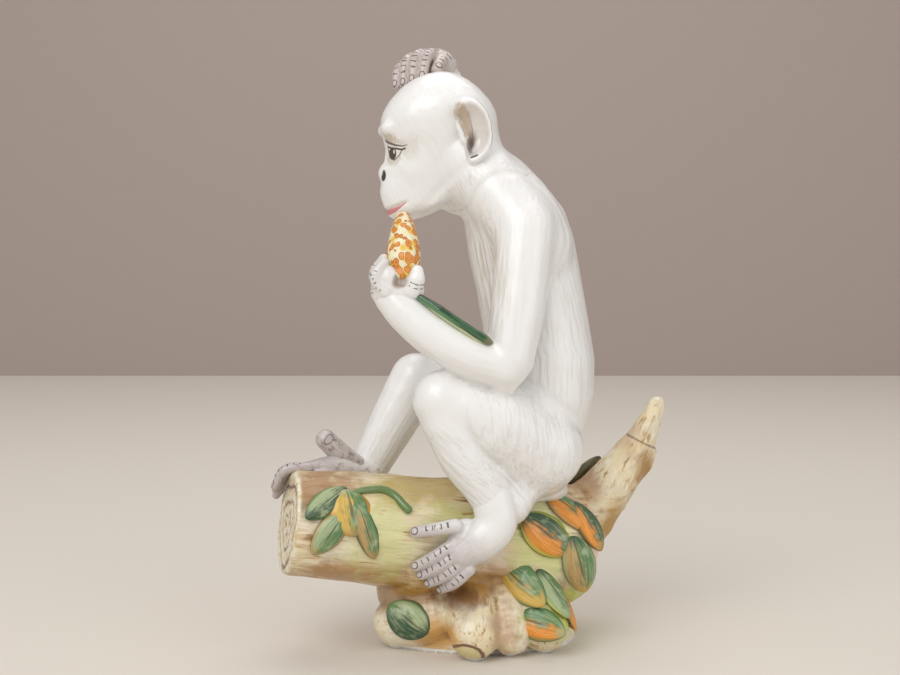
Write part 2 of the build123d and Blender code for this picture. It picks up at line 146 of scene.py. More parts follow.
def push(piece, amounts):
    """Presses the clay out along its normals, by millimetres at each vertex."""
    move_to(piece, places_of(piece) + normals_of(piece) * amounts[:, None])


def store(piece, name, values):
    """Keeps a vector for each vertex, for the painting."""
    attribute = piece.data.attributes.new(name, "FLOAT_VECTOR", "POINT")
    attribute.data.foreach_set("vector", np.asarray(values, np.float32).ravel())


def ease(values, low, high):
    share = np.clip((values - low) / (high - low), 0, 1)
    return share * share * (3 - 2 * share)


def hump(places, centre, reach):
    """A soft bump of height 1 that fades out at its reach from a centre."""
    gone = np.linalg.norm((places - np.asarray(centre, float)) / np.asarray(reach, float), axis=1)
    return ease(1 - gone, 0, 1)


def smooth_where(piece, amounts, rounds):
    """Softens the clay where the amounts say."""
    group = piece.vertex_groups.new(name="soft")
    steps = np.round(np.clip(amounts, 0, 1) * 10).astype(int)
    for step in range(1, 11):
        chosen = np.nonzero(steps == step)[0].tolist()
        if chosen:
            group.add(chosen, step / 10, "REPLACE")
    apply_modifier(piece, "SMOOTH", factor=0.5, iterations=rounds, vertex_group="soft")
    piece.vertex_groups.remove(piece.vertex_groups["soft"])


def follow(points, limbs):
    """Where each point lies across and along its nearest limb, which limb, and how clearly it is nearest."""
    best = np.full(len(points), 1e9)
    second = np.full(len(points), 1e9)
    local = np.zeros((len(points), 3))
    index = np.zeros(len(points), int)
    for number, (stations, outward) in enumerate(limbs):
        stations = np.asarray(stations, float)
        limb_best = np.full(len(points), 1e9)
        limb_local = np.zeros((len(points), 3))
        run = 0.0
        for a, b in zip(stations[:-1], stations[1:]):
            axis = b[:3] - a[:3]
            length = np.linalg.norm(axis)
            axis = axis / length
            offset = points - a[:3]
            raw = offset @ axis
            share = np.clip(raw / length, 0, 1)
            out = offset - axis * (share * length)[:, None]
            gap = np.linalg.norm(out, axis=1) - (a[3] + (b[3] - a[3]) * share)
            front = np.asarray(outward, float) - axis * np.dot(outward, axis)
            front = front / np.linalg.norm(front)
            side = np.cross(axis, front)
            here = np.stack([offset @ front, offset @ side, run + raw], axis=1)
            closer = gap < limb_best
            limb_best = np.where(closer, gap, limb_best)
            limb_local = np.where(closer[:, None], here, limb_local)
            run += length
        closer = limb_best < best
        second = np.where(closer, best, np.minimum(second, limb_best))
        local = np.where(closer[:, None], limb_local, local)
        index = np.where(closer, number, index)
        best = np.minimum(best, limb_best)
    return local, index, second - best


def lumps(places, scale, seed):
    """Soft lumps between -1 and 1, of a size set by the scale in shares of a millimetre."""
    shift = Vector((seed * 7.3, seed * 3.1, seed * 5.7))
    scaled = places * np.asarray(scale)
    return np.array([noise.noise(Vector(place) + shift) for place in scaled])


def hollows(piece, rounds):
    """How deep each vertex lies in a fold, in millimetres, against a softened copy."""
    only(piece)
    bpy.ops.object.duplicate()
    soft = bpy.context.object
    apply_modifier(soft, "SMOOTH", factor=0.5, iterations=rounds)
    depth = np.sum((places_of(soft) - places_of(piece)) * normals_of(piece), axis=1)
    bpy.data.objects.remove(soft)
    return depth


def divide_where(piece, chosen, rounds):
    """Gives finer clay where it is chosen, and softens it."""
    only(piece)
    piece.data.vertices.foreach_set("select", chosen)
    bpy.ops.object.mode_set(mode="EDIT")
    bpy.ops.mesh.select_mode(type="VERT")
    bpy.ops.object.mode_set(mode="OBJECT")
    piece.data.polygons.foreach_set("select", np.zeros(len(piece.data.polygons), bool))
    piece.data.edges.foreach_set("select", np.zeros(len(piece.data.edges), bool))
    piece.data.vertices.foreach_set("select", chosen)
    bpy.ops.object.mode_set(mode="EDIT")
    bpy.ops.mesh.select_mode(type="VERT")
    bpy.ops.mesh.subdivide(number_cuts=1)
    bpy.ops.mesh.vertices_smooth(factor=0.5, repeat=rounds)
    bpy.ops.object.mode_set(mode="OBJECT")
    only(piece)
    bpy.ops.object.shade_smooth()


# Painting helpers
class Signal:
    """A number or vector that runs through a material's nodes and adds up like a number."""

    def __init__(self, paint, socket):
        self.paint = paint
        self.socket = socket

    def __add__(self, other):
        return self.paint.maths("ADD", self, other)

    def __radd__(self, other):
        return self.paint.maths("ADD", other, self)

    def __sub__(self, other):
        return self.paint.maths("SUBTRACT", self, other)

    def __rsub__(self, other):
        return self.paint.maths("SUBTRACT", other, self)

    def __mul__(self, other):
        return self.paint.maths("MULTIPLY", self, other)

    def __rmul__(self, other):
        return self.paint.maths("MULTIPLY", other, self)

    def __truediv__(self, other):
        return self.paint.maths("DIVIDE", self, other)

    def __rtruediv__(self, other):
        return self.paint.maths("DIVIDE", other, self)


class Paint:
    """A material under construction."""

    def __init__(self, name):
        self.material = bpy.data.materials.new(name)
        self.material.use_nodes = True
        self.tree = self.material.node_tree
        self.tree.nodes.clear()

    def node(self, kind, settings=None, inputs=None, output=0):
        """Any node: its type and settings first, then its values and links."""
        made = self.tree.nodes.new(kind)
        for key, value in (settings or {}).items():
            setattr(made, key, value)
        for key, value in (inputs or {}).items():
            if isinstance(value, Signal):
                self.tree.links.new(value.socket, made.inputs[key])
            else:
                made.inputs[key].default_value = value
        return Signal(self, made.outputs[output])

    def maths(self, operation, first, second=0.0, clamp=False):
        settings = {"operation": operation, "use_clamp": clamp}
        return self.node("ShaderNodeMath", settings, {0: first, 1: second})

    def vector(self, x, y, z):
        return self.node("ShaderNodeCombineXYZ", None, {0: x, 1: y, 2: z})

    def parts(self, vector):
        made = self.tree.nodes.new("ShaderNodeSeparateXYZ")
        self.tree.links.new(vector.socket, made.inputs[0])
        return [Signal(self, made.outputs[i]) for i in range(3)]

    def dot(self, vector, direction):
        return self.node("ShaderNodeVectorMath", {"operation": "DOT_PRODUCT"}, {0: vector, 1: direction}, 1)

    def place(self):
        """The place on the object in millimetres."""
        here = self.node("ShaderNodeTexCoord", None, None, 3)
        return self.node("ShaderNodeVectorMath", {"operation": "SCALE"}, {0: here, "Scale": 1 / MM})

    def stored(self, name):
        return self.node("ShaderNodeAttribute", {"attribute_name": name}, None, 1)

    def ramp(self, value, low, high, to_low=0.0, to_high=1.0):
        """Rises softly from one value to another."""
        return self.node(
            "ShaderNodeMapRange",
            {"interpolation_type": "SMOOTHSTEP"},
            {0: value, 1: low, 2: high, 3: to_low, 4: to_high},
        )

    def noise(self, vector, scale, detail=2.0, rough=0.5, distortion=0.0):
        values = {"Scale": scale, "Detail": detail, "Roughness": rough, "Distortion": distortion}
        return self.node("ShaderNodeTexNoise", None, {"Vector": vector, **values})

    def spots(self, vector, scale):
        return self.node("ShaderNodeTexVoronoi", None, {"Vector": vector, "Scale": scale})

    def stretch(self, vector, x, y, z):
        return self.node("ShaderNodeVectorMath", {"operation": "MULTIPLY"}, {0: vector, 1: (x, y, z)})

    def mix(self, share, first, second):
        colours = [(*c, 1.0) if isinstance(c, tuple) and len(c) == 3 else c for c in (first, second)]
        return self.node("ShaderNodeMix", {"data_type": "RGBA"}, {0: share, 6: colours[0], 7: colours[1]}, 2)

    def most(self, first, second):
        return self.maths("MAXIMUM", first, second)

    def least(self, first, second):
        return self.maths("MINIMUM", first, second)

    def size(self, value):
        return self.maths("ABSOLUTE", value)

    def near_line(self, x, y, start, end):
        """How far a place in a plane lies from a line between two points."""
        run = (end[0] - start[0], end[1] - start[1])
        square = run[0] ** 2 + run[1] ** 2
        share_x = (x - start[0]) * (run[0] / square)
        share_y = (y - start[1]) * (run[1] / square)
        share = self.maths("ADD", share_x, share_y, True)
        gap_x = x - start[0] - share * run[0]
        gap_y = y - start[1] - share * run[1]
        return self.maths("SQRT", gap_x * gap_x + gap_y * gap_y)

    def near_path(self, x, y, points):
        gap = self.near_line(x, y, points[0], points[1])
        for start, end in zip(points[1:-1], points[2:]):
            gap = self.least(gap, self.near_line(x, y, start, end))
        return gap

    def oval(self, x, y, centre, half):
        """0 at an oval's middle and 1 on its rim."""
        share_x = (x - centre[0]) / half[0]
        share_y = (y - centre[1]) / half[1]
        return self.maths("SQRT", share_x * share_x + share_y * share_y)

    def glaze(self, colour, relief=None, depth=0.3, roughness=0.22, coat=0.8, coat_roughness=0.05):
        """Painted clay under a clear glaze. Relief is a height in shares of a depth in millimetres."""
        surface = self.tree.nodes.new("ShaderNodeBsdfPrincipled")
        if isinstance(colour, Signal):
            self.tree.links.new(colour.socket, surface.inputs["Base Color"])
        else:
            surface.inputs["Base Color"].default_value = (*colour, 1.0)
        surface.inputs["Roughness"].default_value = roughness
        surface.inputs["Coat Weight"].default_value = coat
        surface.inputs["Coat Roughness"].default_value = coat_roughness
        if relief is not None:
            dent = {"Strength": 1.0, "Distance": depth * MM, "Height": relief}
            bump = self.node("ShaderNodeBump", None, dent)
            self.tree.links.new(bump.socket, surface.inputs["Normal"])
        output = self.tree.nodes.new("ShaderNodeOutputMaterial")
        self.tree.links.new(surface.outputs[0], output.inputs[0])
        return self.material


def finish(piece, material, slot, *nodes):
    piece.data.materials.clear()
    piece.data.materials.append(material)
    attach(piece, "root")
    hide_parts(*nodes)


# Head frame: forward, to the monkey's left and up from the middle of the skull
HEAD = np.array((-21.7, -3.0, 294.0))
FORWARD = np.array((-0.990, -0.139, 0.0))
LEFTWARD = np.array((0.139, -0.990, 0.0))
UPWARD = np.array((0.0, 0.0, 1.0))


def in_head(forward, left, up):
    return HEAD + FORWARD * forward + LEFTWARD * left + UPWARD * up


# Limbs of the monkey: x, y, z and radius down each one
LEFT_UPPER_ARM = [(25, -33, 236, 17), (21.5, -42, 200, 15), (16, -49, 166, 13.5)]
LEFT_FOREARM = [
    (13.5, -49.5, 162, 13.0),
    (-5, -49, 167.5, 12.4),
    (-24, -47, 177.5, 11.8),
    (-40, -44, 190.5, 10.8),
    (-47.3, -42, 198.5, 9.8),
]
RIGHT_UPPER_ARM = [(17, 34, 236, 17), (2, 60, 256, 15), (-10.5, 76, 275, 13)]
RIGHT_FOREARM = [(-10.5, 76, 275, 13), (-15, 58, 302, 12), (-18, 36, 323, 9.5)]
LEFT_THIGH = [(34, -21, 112, 25), (5, -34, 131, 25), (-20.5, -42, 143, 16)]
LEFT_SHIN = [(-20.5, -42, 143, 16), (-8, -41.5, 113, 14.8), (6.5, -40.2, 89, 12.2), (9.5, -41, 77, 9.0)]
RIGHT_THIGH = [(31, 27, 110, 25), (-3, 29, 129, 24), (-36, 26.5, 147.5, 15.5)]
RIGHT_SHIN = [(-36, 26.5, 147.5, 15.5), (-48, 23, 125, 14.5), (-62, 17.5, 99.5, 12)]
# Sections up the body: x, y and z of the middle, half depth, half breadth and lean in degrees
SPINE = [
    (28.0, 2.1, 80, 20, 30, 38),
    (32.0, 3.1, 99, 24.6, 35.5, 26),
    (34.2, 3.1, 119, 27.4, 39.2, 14),
    (36.2, 3.1, 139.9, 29.7, 40, 5),
    (35.8, 3.1, 161, 30.7, 38.8, 2),
    (32.6, 3.1, 183.5, 30, 36, 6),
    (28.4, 3.1, 206.6, 30, 34.4, 8),
    (24.4, 3.1, 226.5, 30.4, 32.8, 9),
    (20.8, 3.1, 240.9, 29, 30.4, 11),
    (11, 0.1, 259, 22.4, 22.4, 24),
    (-0.4, -2.9, 270.8, 21, 20, 40),
]


def trunk():
    """The body, a ball drawn out over oval sections that lean forward into the neck."""
    rings = 60
    bpy.ops.mesh.primitive_uv_sphere_add(segments=64, ring_count=rings, radius=1, location=(0, 0, 0))
    body = bpy.context.object
    unit = places_of(body) * MM
    height = np.arccos(np.clip(-unit[:, 2], -1, 1)) / math.pi
    rows = np.array(SPINE, float)
    steps = np.linspace(0, 1, len(rows))
    facing = math.radians(8)
    centre = np.stack([np.interp(height, steps, rows[:, i]) for i in range(3)], axis=1)
    half_depth, half_breadth, lean = (np.interp(height, steps, rows[:, i]) for i in (3, 4, 5))
    lean = np.radians(lean)
    reach = np.sqrt(np.clip(1 - unit[:, 2] ** 2, 0, 1))
    swell = np.clip(reach / np.maximum(np.sin(height * math.pi), 1e-6), 0, 1)
    round_off = np.minimum(1, np.sqrt(np.clip(1 - (1 - np.minimum(height, 1 - height) / 0.045) ** 2, 0, 1)))
    round_off = np.where(np.minimum(height, 1 - height) > 0.045, 1, round_off)
    angle = np.arctan2(unit[:, 1], unit[:, 0])
    ahead = np.stack(
        [-np.cos(lean) * math.cos(facing), -np.cos(lean) * math.sin(facing), -np.sin(lean)], axis=1
    )
    sideways = np.array((math.sin(facing), -math.cos(facing), 0))
    places = (
        centre
        + ahead * (np.cos(angle) * half_depth * round_off * swell)[:, None]
        + sideways * (np.sin(angle) * half_breadth * round_off * swell)[:, None]
    )
    move_to(body, places)
    return body


# Head sections from the chin up: height, front, back, half breadth and where the breadth is
HEAD_SECTIONS = [
    (-54.0, 20.8, 20.2, 0.3, 20.5),
    (-53.3, 26.0, 15.0, 6.0, 20.5),
    (-51.2, 29.4, 8.0, 11.0, 18.0),
    (-48.5, 30.8, 2.0, 14.0, 13.0),
    (-45.5, 32.0, -4.0, 16.0, 7.0),
    (-42.0, 33.4, -14.0, 17.5, 0.0),
    (-37.7, 34.3, -20.0, 18.6, -3.0),
    (-33.8, 33.6, -24.0, 19.6, -3.0),
    (-29.5, 32.4, -28.0, 20.6, -3.0),
    (-25.0, 31.4, -30.0, 21.8, -3.0),
    (-20.0, 30.4, -31.0, 23.2, -3.0),
    (-15.0, 30.6, -32.0, 24.8, -3.0),
    (-10.0, 31.8, -32.6, 26.2, -3.0),
    (-4.0, 33.2, -33.0, 27.7, -3.0),
    (2.4, 33.6, -32.9, 28.6, -3.0),
    (8.0, 31.6, -31.4, 28.4, -3.0),
    (13.5, 28.2, -28.4, 26.6, -2.5),
    (20.3, 22.0, -22.2, 21.6, -2.0),
    (25.0, 15.5, -16.2, 16.0, -1.5),
    (28.2, 8.0, -10.0, 10.2, -1.2),
    (29.5, 2.8, -5.0, 4.6, -1.0),
    (29.9, -0.8, -1.2, 0.3, -1.0),
]
# Presses of the thumb on the face: forward, aside, up, their reaches and the depth
FACE_PRESSES = [
    ((32.0, 10.5, -3.0), (9, 9, 6.5), 3.4),
    ((31.0, 9.0, -13.0), (7, 7, 6), -1.6),
    ((27.0, 15.5, -16.0), (9, 9, 8), -2.6),
    ((27.5, 13.5, -17.0), (5.5, 5.5, 5.0), 1.5),
    ((19.0, 18.0, -27.0), (14, 9, 9), 0.8),
    ((33.2, 5.0, -28.8), (3.0, 3.0, 4.2), -1.6),
    ((31.0, 7.0, -24.6), (5, 4, 4), 0.4),
    ((12.0, 20.0, -12.0), (13, 8, 12), -0.9),
]
MOUTH_LINE = [(34.5, -49.0), (31.5, -48.4), (26.7, -46.3), (20.2, -43.7)]


def skull():
    """The head, a ball drawn out over its sections."""
    bpy.ops.mesh.primitive_uv_sphere_add(segments=96, ring_count=90, radius=1, location=(0, 0, 0))
    head = bpy.context.object
    unit = places_of(head) * MM
    rows = np.array(HEAD_SECTIONS)
    up = (rows[0, 0] + rows[-1, 0]) / 2 + unit[:, 2] * (rows[-1, 0] - rows[0, 0]) / 2
    front, back, breadth, widest = (np.interp(up, rows[:, 0], rows[:, i]) for i in (1, 2, 3, 4))
    angle = np.arctan2(unit[:, 1], unit[:, 0])
    depth = np.where(np.cos(angle) > 0, front - widest, widest - back)
    forward = widest + depth * np.cos(angle)
    left = breadth * np.sin(angle)
    move_to(head, HEAD + FORWARD * forward[:, None] + LEFTWARD * left[:, None] + UPWARD * up[:, None])
    only(head)
    bpy.ops.object.mode_set(mode="EDIT")
    bpy.ops.mesh.select_all(action="SELECT")
    bpy.ops.mesh.normals_make_consistent(inside=False)
    bpy.ops.object.mode_set(mode="OBJECT")
    return head


def head_forms():
    nose = ball(in_head(28.2, 0, -27.4), (6.8, 7.6, 7.2), (0, 0, 8))
    bridge = ball(in_head(26.4, 0, -19), (5.2, 4.6, 8), (0, 0, 8))
    nape = ball(in_head(-18.5, 0, -12), (17, 18, 18), (0, 0, 8))
    throat = ball(in_head(-14, 0, -34), (19, 17, 17), (0, 0, 8))
    return [skull(), nose, bridge, nape, throat]


def head_local(places):
    offset = places - HEAD
    return np.stack([offset @ FORWARD, offset @ LEFTWARD, offset @ UPWARD], axis=1)


def shape_face(skin):
    """Gives the face finer clay, then presses in the brow, eyes, nostrils and mouth."""
    local = head_local(places_of(skin))
    divide_where(skin, (local[:, 0] > 6) & (local[:, 2] < 10) & (local[:, 2] > -58), 2)
    local = head_local(places_of(skin))
    mirrored = local.copy()
    mirrored[:, 1] = np.abs(local[:, 1])
    amounts = np.zeros(len(local))
    for centre, reach, depth in FACE_PRESSES:
        amounts += hump(mirrored, centre, reach) * depth
    path = np.array(MOUTH_LINE)
    gap = np.full(len(local), 1e9)
    for start, end in zip(path[:-1], path[1:]):
        run = end - start
        share = np.clip(((local[:, [0, 2]] - start) @ run) / (run @ run), 0, 1)
        gap = np.minimum(gap, np.linalg.norm(local[:, [0, 2]] - start - run * share[:, None], axis=1))
    amounts -= 0.9 * ease(gap, 1.7, 0.2) * ease(local[:, 0], 17, 22)
    amounts[local[:, 0] < 0] = 0
    push(skin, amounts)


def monkey_skin():
    forms = [trunk(), *head_forms()]
    for stations in (
        LEFT_UPPER_ARM,
        LEFT_FOREARM,
        RIGHT_UPPER_ARM,
        RIGHT_FOREARM,
        LEFT_THIGH,
        LEFT_SHIN,
        RIGHT_THIGH,
        RIGHT_SHIN,
    ):
        forms += tube(stations)
    forms += tube([(4, -6, 262, 19), (16, -20, 246, 19), (25, -30, 232, 16)])
    forms += tube([(4, 2, 262, 19), (12, 18, 248, 18), (17, 30, 236, 16)])
    forms += tube([(-6, -12, 275, 19), (7, -19, 259, 19), (21, -28, 241, 18)])
    forms += tube([(-4, 6, 272, 18), (6, 16, 257, 18), (17, 28, 240, 17)])
    forms += tube([(6, -8, 262, 19.5), (21, -13, 245, 22.5), (28, -15, 226, 25)])
    forms += tube([(22, 16, 243, 22), (28, 18, 226, 25)])
    forms.append(ball((13.5, -50, 154.5), (7.5, 7, 9)))
    forms.append(ball((38, 0, 89), (16, 26, 9), (0, 18, 0)))
    forms.append(ball((17, -32, 85), (15, 13, 13), (0, -35, 0)))
    skin = fuse(forms, "monkey_skin", BODY_GRAIN, 7)
    places = places_of(skin)
    joins = np.zeros(len(places))
    for centre, reach in (
        ((20, -24, 242), 38),
        ((14, 24, 246), 38),
        ((8, 0, 268), 36),
        ((36, -22, 150), 24),
        ((36, -14, 92), 34),
        ((38, 26, 120), 34),
        ((12, -36, 94), 20),
        ((2, -18, 262), 30),
        ((30, -18, 232), 34),
    ):
        joins = np.maximum(joins, hump(places, centre, (reach, reach, reach)))
    smooth_where(skin, joins * 2.5, 170)
    shape_face(skin)
    places = places_of(skin)
    limbs = [
        ([row[:3] + ((row[3] + row[4]) / 2,) for row in SPINE[:-1]], (0, -1, 0)),
        (LEFT_UPPER_ARM, (0, -1, 0)),
        (LEFT_FOREARM, (0, -1, 0)),
        (RIGHT_UPPER_ARM, (0, 0, 1)),
        (RIGHT_FOREARM, (-1, 0, 0)),
        (LEFT_THIGH, (0, -1, 0)),
        (LEFT_SHIN, (0, -1, 0)),
        (RIGHT_THIGH, (0, -1, 0)),
        (RIGHT_SHIN, (0, -1, 0)),
        ([(*in_head(-20, 0, 0), 24), (*in_head(20, 0, 0), 24)], (0, 0, -1)),
    ]
    local, index, clear = follow(places, limbs)
    # Which way the hair is combed on the thighs, the shins and the head, by place in the list above
    combs = {
        5: (0.10, -0.1, -1),
        6: (0.75, -0.2, -0.62),
        7: (0.10, 0.1, -1),
        8: (-0.5, -0.2, -0.8),
        9: (0.5, 0, -0.85),
    }
    for number, comb in combs.items():
        comb = np.array(comb) / np.linalg.norm(comb)
        front = np.cross(comb, (0, 0.2, 1.0))
        front = front / np.linalg.norm(front)
        turned = np.stack([places @ front, places @ np.cross(comb, front), places @ comb], axis=1)
        local = np.where((index == number)[:, None], turned, local)
    local[:, 2] += index * LIMB_SHIFT
    store(skin, "flow", local)
    amount = ease(clear, 0.3, 5.0)
    strength = np.array([1.0, 0.45, 0.3, 0.6, 0.3, 1.0, 1.0, 0.8, 0.6, 0.35])[index]
    # How deep each place lies in a fold, which sets the painted shade in the folds
    folds = hollows(skin, 30)
    store(skin, "hair", np.stack([amount * strength, ease(folds, 0.25, 1.6), np.zeros(len(places))], axis=1))
    return skin


WHITE, BEIGE = (0.84, 0.83, 0.815), (0.50, 0.40, 0.28)
BROWN_LINE = (0.06, 0.035, 0.025)
# Brush lines of the face, forward and up from the middle of the skull
LID_LINE = [
    (33.6, -8.8),
    (32.0, -10.8),
    (30.4, -12.6),
    (28.0, -13.8),
    (25.8, -14.2),
    (23.0, -14.9),
    (21.6, -14.4),
]
UNDER_EYE_LINE = [(30.0, -13.0), (28.9, -17.4), (27.0, -20.6), (24.3, -18.0), (22.8, -14.9)]
BROW_LINE = [(34.6, -7.0), (32.4, -8.6), (29.7, -10.6), (26.4, -12.3), (23.0, -13.0), (20.6, -12.6)]
LIP_LINE = [(35.5, -51.6), (31.2, -50.1), (26.2, -48.0), (20.8, -44.3)]
# Beige under the brow, under the eye and on the temple
# Painted shade round the eye: each oval's middle and half lengths, where it starts and is full, and its
# strength
FACE_SHADE_WASHES = [
    ((31.5, -9.5), (7.0, 4.2), 1.1, 0.35, 0.7),
    ((28.0, -18.5), (4.8, 6.0), 1.1, 0.5, 0.55),
    ((19.0, -14.0), (10.0, 9.0), 1.0, 0.3, 0.22),
]
# White, iris and glint of the eye: the same, with a colour in place of the strength
EYE_OVALS = [
    ((26.7, -16.4), (3.1, 3.6), 1.05, 0.9, (0.72, 0.70, 0.67)),
    ((27.6, -16.8), (1.75, 3.5), 1.1, 0.9, (0.05, 0.03, 0.02)),
    ((26.9, -15.8), (0.45, 1.2), 1.2, 0.8, (0.60, 0.58, 0.55)),
]


def paint_face(paint, here, colour):
    """Brush lines, washes and painted shade of the face, laid out forward and up from the middle of the
    skull.
    """
    forward = paint.dot(here, tuple(FORWARD)) - float(HEAD @ FORWARD)
    left = paint.dot(here, tuple(LEFTWARD)) - float(HEAD @ LEFTWARD)
    up = paint.dot(here, tuple(UPWARD)) - float(HEAD @ UPWARD)
    aside = paint.size(left)
    wobble = paint.noise(here, 0.5, 2.0) - 0.5
    side_on = paint.ramp(aside, 3.6, 5.2) * paint.ramp(forward, 12, 16)

    # Painted shade in beige round the eye
    for centre, half, start, full, strength in FACE_SHADE_WASHES:
        shade = paint.ramp(paint.oval(forward, up, centre, half) + wobble, start, full)
        colour = paint.mix(shade * side_on * strength, colour, BEIGE)
    for centre, half, start, full, eye_colour in EYE_OVALS:
        oval = paint.ramp(paint.oval(forward, up, centre, half), start, full)
        colour = paint.mix(oval * side_on, colour, eye_colour)

    lid = paint.near_path(forward, up, LID_LINE)
    under = paint.near_path(forward, up, UNDER_EYE_LINE)
    lines = paint.most(paint.ramp(lid, 0.62, 0.35), paint.ramp(under, 0.42, 0.20) * 0.8)
    brow = paint.near_path(forward, up, BROW_LINE)
    brow_half = paint.ramp(forward, 20, 27, 0.15, 0.42)
    lines = paint.most(lines, paint.ramp(brow - brow_half, 0.25, -0.1) * 0.9)
    colour = paint.mix(lines * side_on, colour, BROWN_LINE)

    nostril = paint.oval(aside - (up + 28.8) * 0.25, up, (4.7, -28.8), (1.6, 3.1))
    nostril = paint.ramp(nostril, 1.15, 0.85) * paint.ramp(forward, 26, 28)
    colour = paint.mix(nostril, colour, (0.03, 0.022, 0.012))

    lip = paint.near_path(forward, up, LIP_LINE)
    lip_half = paint.ramp(forward, 20.5, 29.0, 0.15, 1.35)
    lip = paint.ramp(lip - lip_half, 0.35, -0.15) * paint.ramp(forward, 19.5, 21.0)
    colour = paint.mix(lip * 0.92, colour, (0.60, 0.15, 0.15))
    # Painted shade: darker red-brown along the pressed crease above the lip
    mouth_crease_shade = paint.near_path(forward, up, MOUTH_LINE)
    mouth_crease_shade = paint.ramp(mouth_crease_shade, 0.9, 0.15) * paint.ramp(forward, 19.0, 21.5)
    return paint.mix(mouth_crease_shade * 0.35, colour, (0.50, 0.24, 0.20))


def white_glaze():
    paint = Paint("white_glaze")
    here = paint.place()
    flow = paint.stored("flow")
    hair_and_fold_shade = paint.parts(paint.stored("hair"))
    hair = paint.noise(paint.stretch(flow, 0.42, 0.42, 0.035), 1.0, 2.0, 0.6, 0.4)
    tuft = paint.noise(paint.stretch(flow, 0.15, 0.15, 0.018), 1.0, 1.0, 0.5, 0.5)
    ripple = paint.noise(here, 0.06, 2.0)
    relief = (hair * 0.55 + tuft * 0.8) * hair_and_fold_shade[0] + ripple * 0.25
    # Beige in the folds and creases: the glaze's tint there and painted shade
    colour = paint.mix(hair_and_fold_shade[1] * 0.5, WHITE, BEIGE)
    stroke = paint.ramp(hair, 0.5, 0.36) * hair_and_fold_shade[0]
    colour = paint.mix(stroke * 0.16, colour, BEIGE)
    x, y, z = paint.parts(here)
    chest = paint.ramp(paint.oval(x, z, (2.0, 208.0), (17.0, 44.0)), 1.0, 0.5)
    colour = paint.mix(chest * paint.ramp(hair, 0.58, 0.40) * 0.45, colour, BEIGE)
    colour = paint_face(paint, here, colour)
    return paint.glaze(colour, relief, 1.5, 0.35, 0.5, 0.16)


def plain(name, colour):
    return Paint(name).glaze(colour)


LIMB_NODES = [
    f"{side}_{length}"
    for lengths in (("upper_arm", "forearm"), ("thigh", "shin"))
    for side in ("left", "right")
    for length in lengths
]
finish(monkey_skin(), white_glaze(), "white_glaze", "torso", "head", *LIMB_NODES)


# Hands and feet: each digit's x, y, z and radius, with the way its back faces
LEFT_FINGERS = [
    ([(-50.5, -49.4, 201.5, 3.4), (-55.4, -50.0, 209.0, 3.6), (-51.2, -48.6, 217.0, 2.8)], (-1, -0.3, 0)),
    ([(-51.0, -44.6, 202.0, 3.4), (-56.2, -44.8, 210.0, 3.6), (-51.6, -44.2, 219.4, 2.6)], (-1, 0, 0)),
    ([(-51.0, -39.4, 202.0, 3.4), (-56.2, -39.4, 210.0, 3.6), (-51.6, -39.4, 219.4, 2.6)], (-1, 0, 0)),
    ([(-50.5, -34.4, 201.5, 3.4), (-55.4, -33.9, 209.0, 3.6), (-51.2, -34.4, 217.6, 2.6)], (-1, 0.3, 0)),
    ([(-36.0, -48.9, 202.6, 5.0), (-33.8, -50.4, 208.6, 4.7), (-33.4, -49.5, 212.6, 3.4)], (0.6, -1, 0)),
]
RIGHT_FINGERS = [
    ([(-38.0, 20.1, 331.8, 3.3), (-45.0, 10.5, 327.0, 3.2), (-46.6, 4.6, 316.8, 2.4)], (-0.6, -1, 0.5)),
    ([(-33.5, 19.6, 334.8, 3.4), (-40.4, 9.2, 331.2, 3.3), (-42.2, 2.6, 317.6, 2.5)], (-0.4, -1, 0.5)),
    ([(-28.2, 19.1, 336.4, 3.4), (-35.0, 8.2, 333.6, 3.3), (-37.2, 1.1, 319.4, 2.5)], (-0.3, -1, 0.5)),
    ([(-22.5, 18.6, 336.6, 3.4), (-28.6, 8.0, 334.0, 3.4), (-31.6, 0.1, 321.0, 2.6)], (-0.2, -1, 0.5)),
    ([(-17.6, 22.1, 332.2, 4.2), (-21.0, 12.1, 331, 4.2), (-23.4, 4.1, 325.8, 3.4)], (0.2, -1, 0.3)),
]
LEFT_TOES = [
    ([(-14.2, -45.4, 64.3, 3.6), (-24.4, -46.9, 57.7, 3.5), (-34.3, -43.4, 51.8, 3.0)], (0, -1, 0.5)),
    ([(-11.8, -46.4, 59.4, 3.6), (-22, -45.9, 52.1, 3.5), (-31.5, -40.4, 46.3, 3.0)], (0, -1, 0.5)),
    ([(-9.1, -46.9, 54.7, 3.6), (-18.4, -44.9, 47.2, 3.5), (-27.4, -37.4, 41.2, 3.0)], (0, -1, 0.3)),
    ([(-5.8, -46.9, 50.4, 3.6), (-13.4, -43.9, 42.8, 3.5), (-20.6, -35.4, 37.4, 3.0)], (0, -1, 0.2)),
    ([(-13, -47.9, 75, 3.9), (-23.2, -48.6, 73.3, 3.7), (-34.6, -45.4, 70.9, 3.3)], (0, -1, 0.5)),
]
RIGHT_TOES = [
    ([(-95.2, -21.0, 102.1, 3), (-108.4, -22.4, 100.9, 2.9), (-113.8, -22.4, 92.2, 2.4)], (-0.3, -0.3, 1)),
    ([(-95.2, -15.0, 100.2, 3), (-108.4, -16.4, 99, 2.9), (-114.4, -16.4, 90.3, 2.4)], (-0.3, 0, 1)),
    ([(-95.2, -9.0, 96.9, 3), (-108.4, -10.4, 96.2, 2.9), (-115, -10.4, 87.9, 2.4)], (-0.3, 0, 1)),
    ([(-95.2, -3.0, 91.7, 3), (-108.4, -4.4, 91.2, 2.9), (-115.6, -4.4, 83.7, 2.4)], (-0.3, 0.3, 1)),
]
RIGHT_BIG_TOE = [(-71.2, 4.1, 100.2, 6.0), (-79.6, 1.6, 107.3, 6.2), (-87.4, -0.4, 115.1, 5.9)]


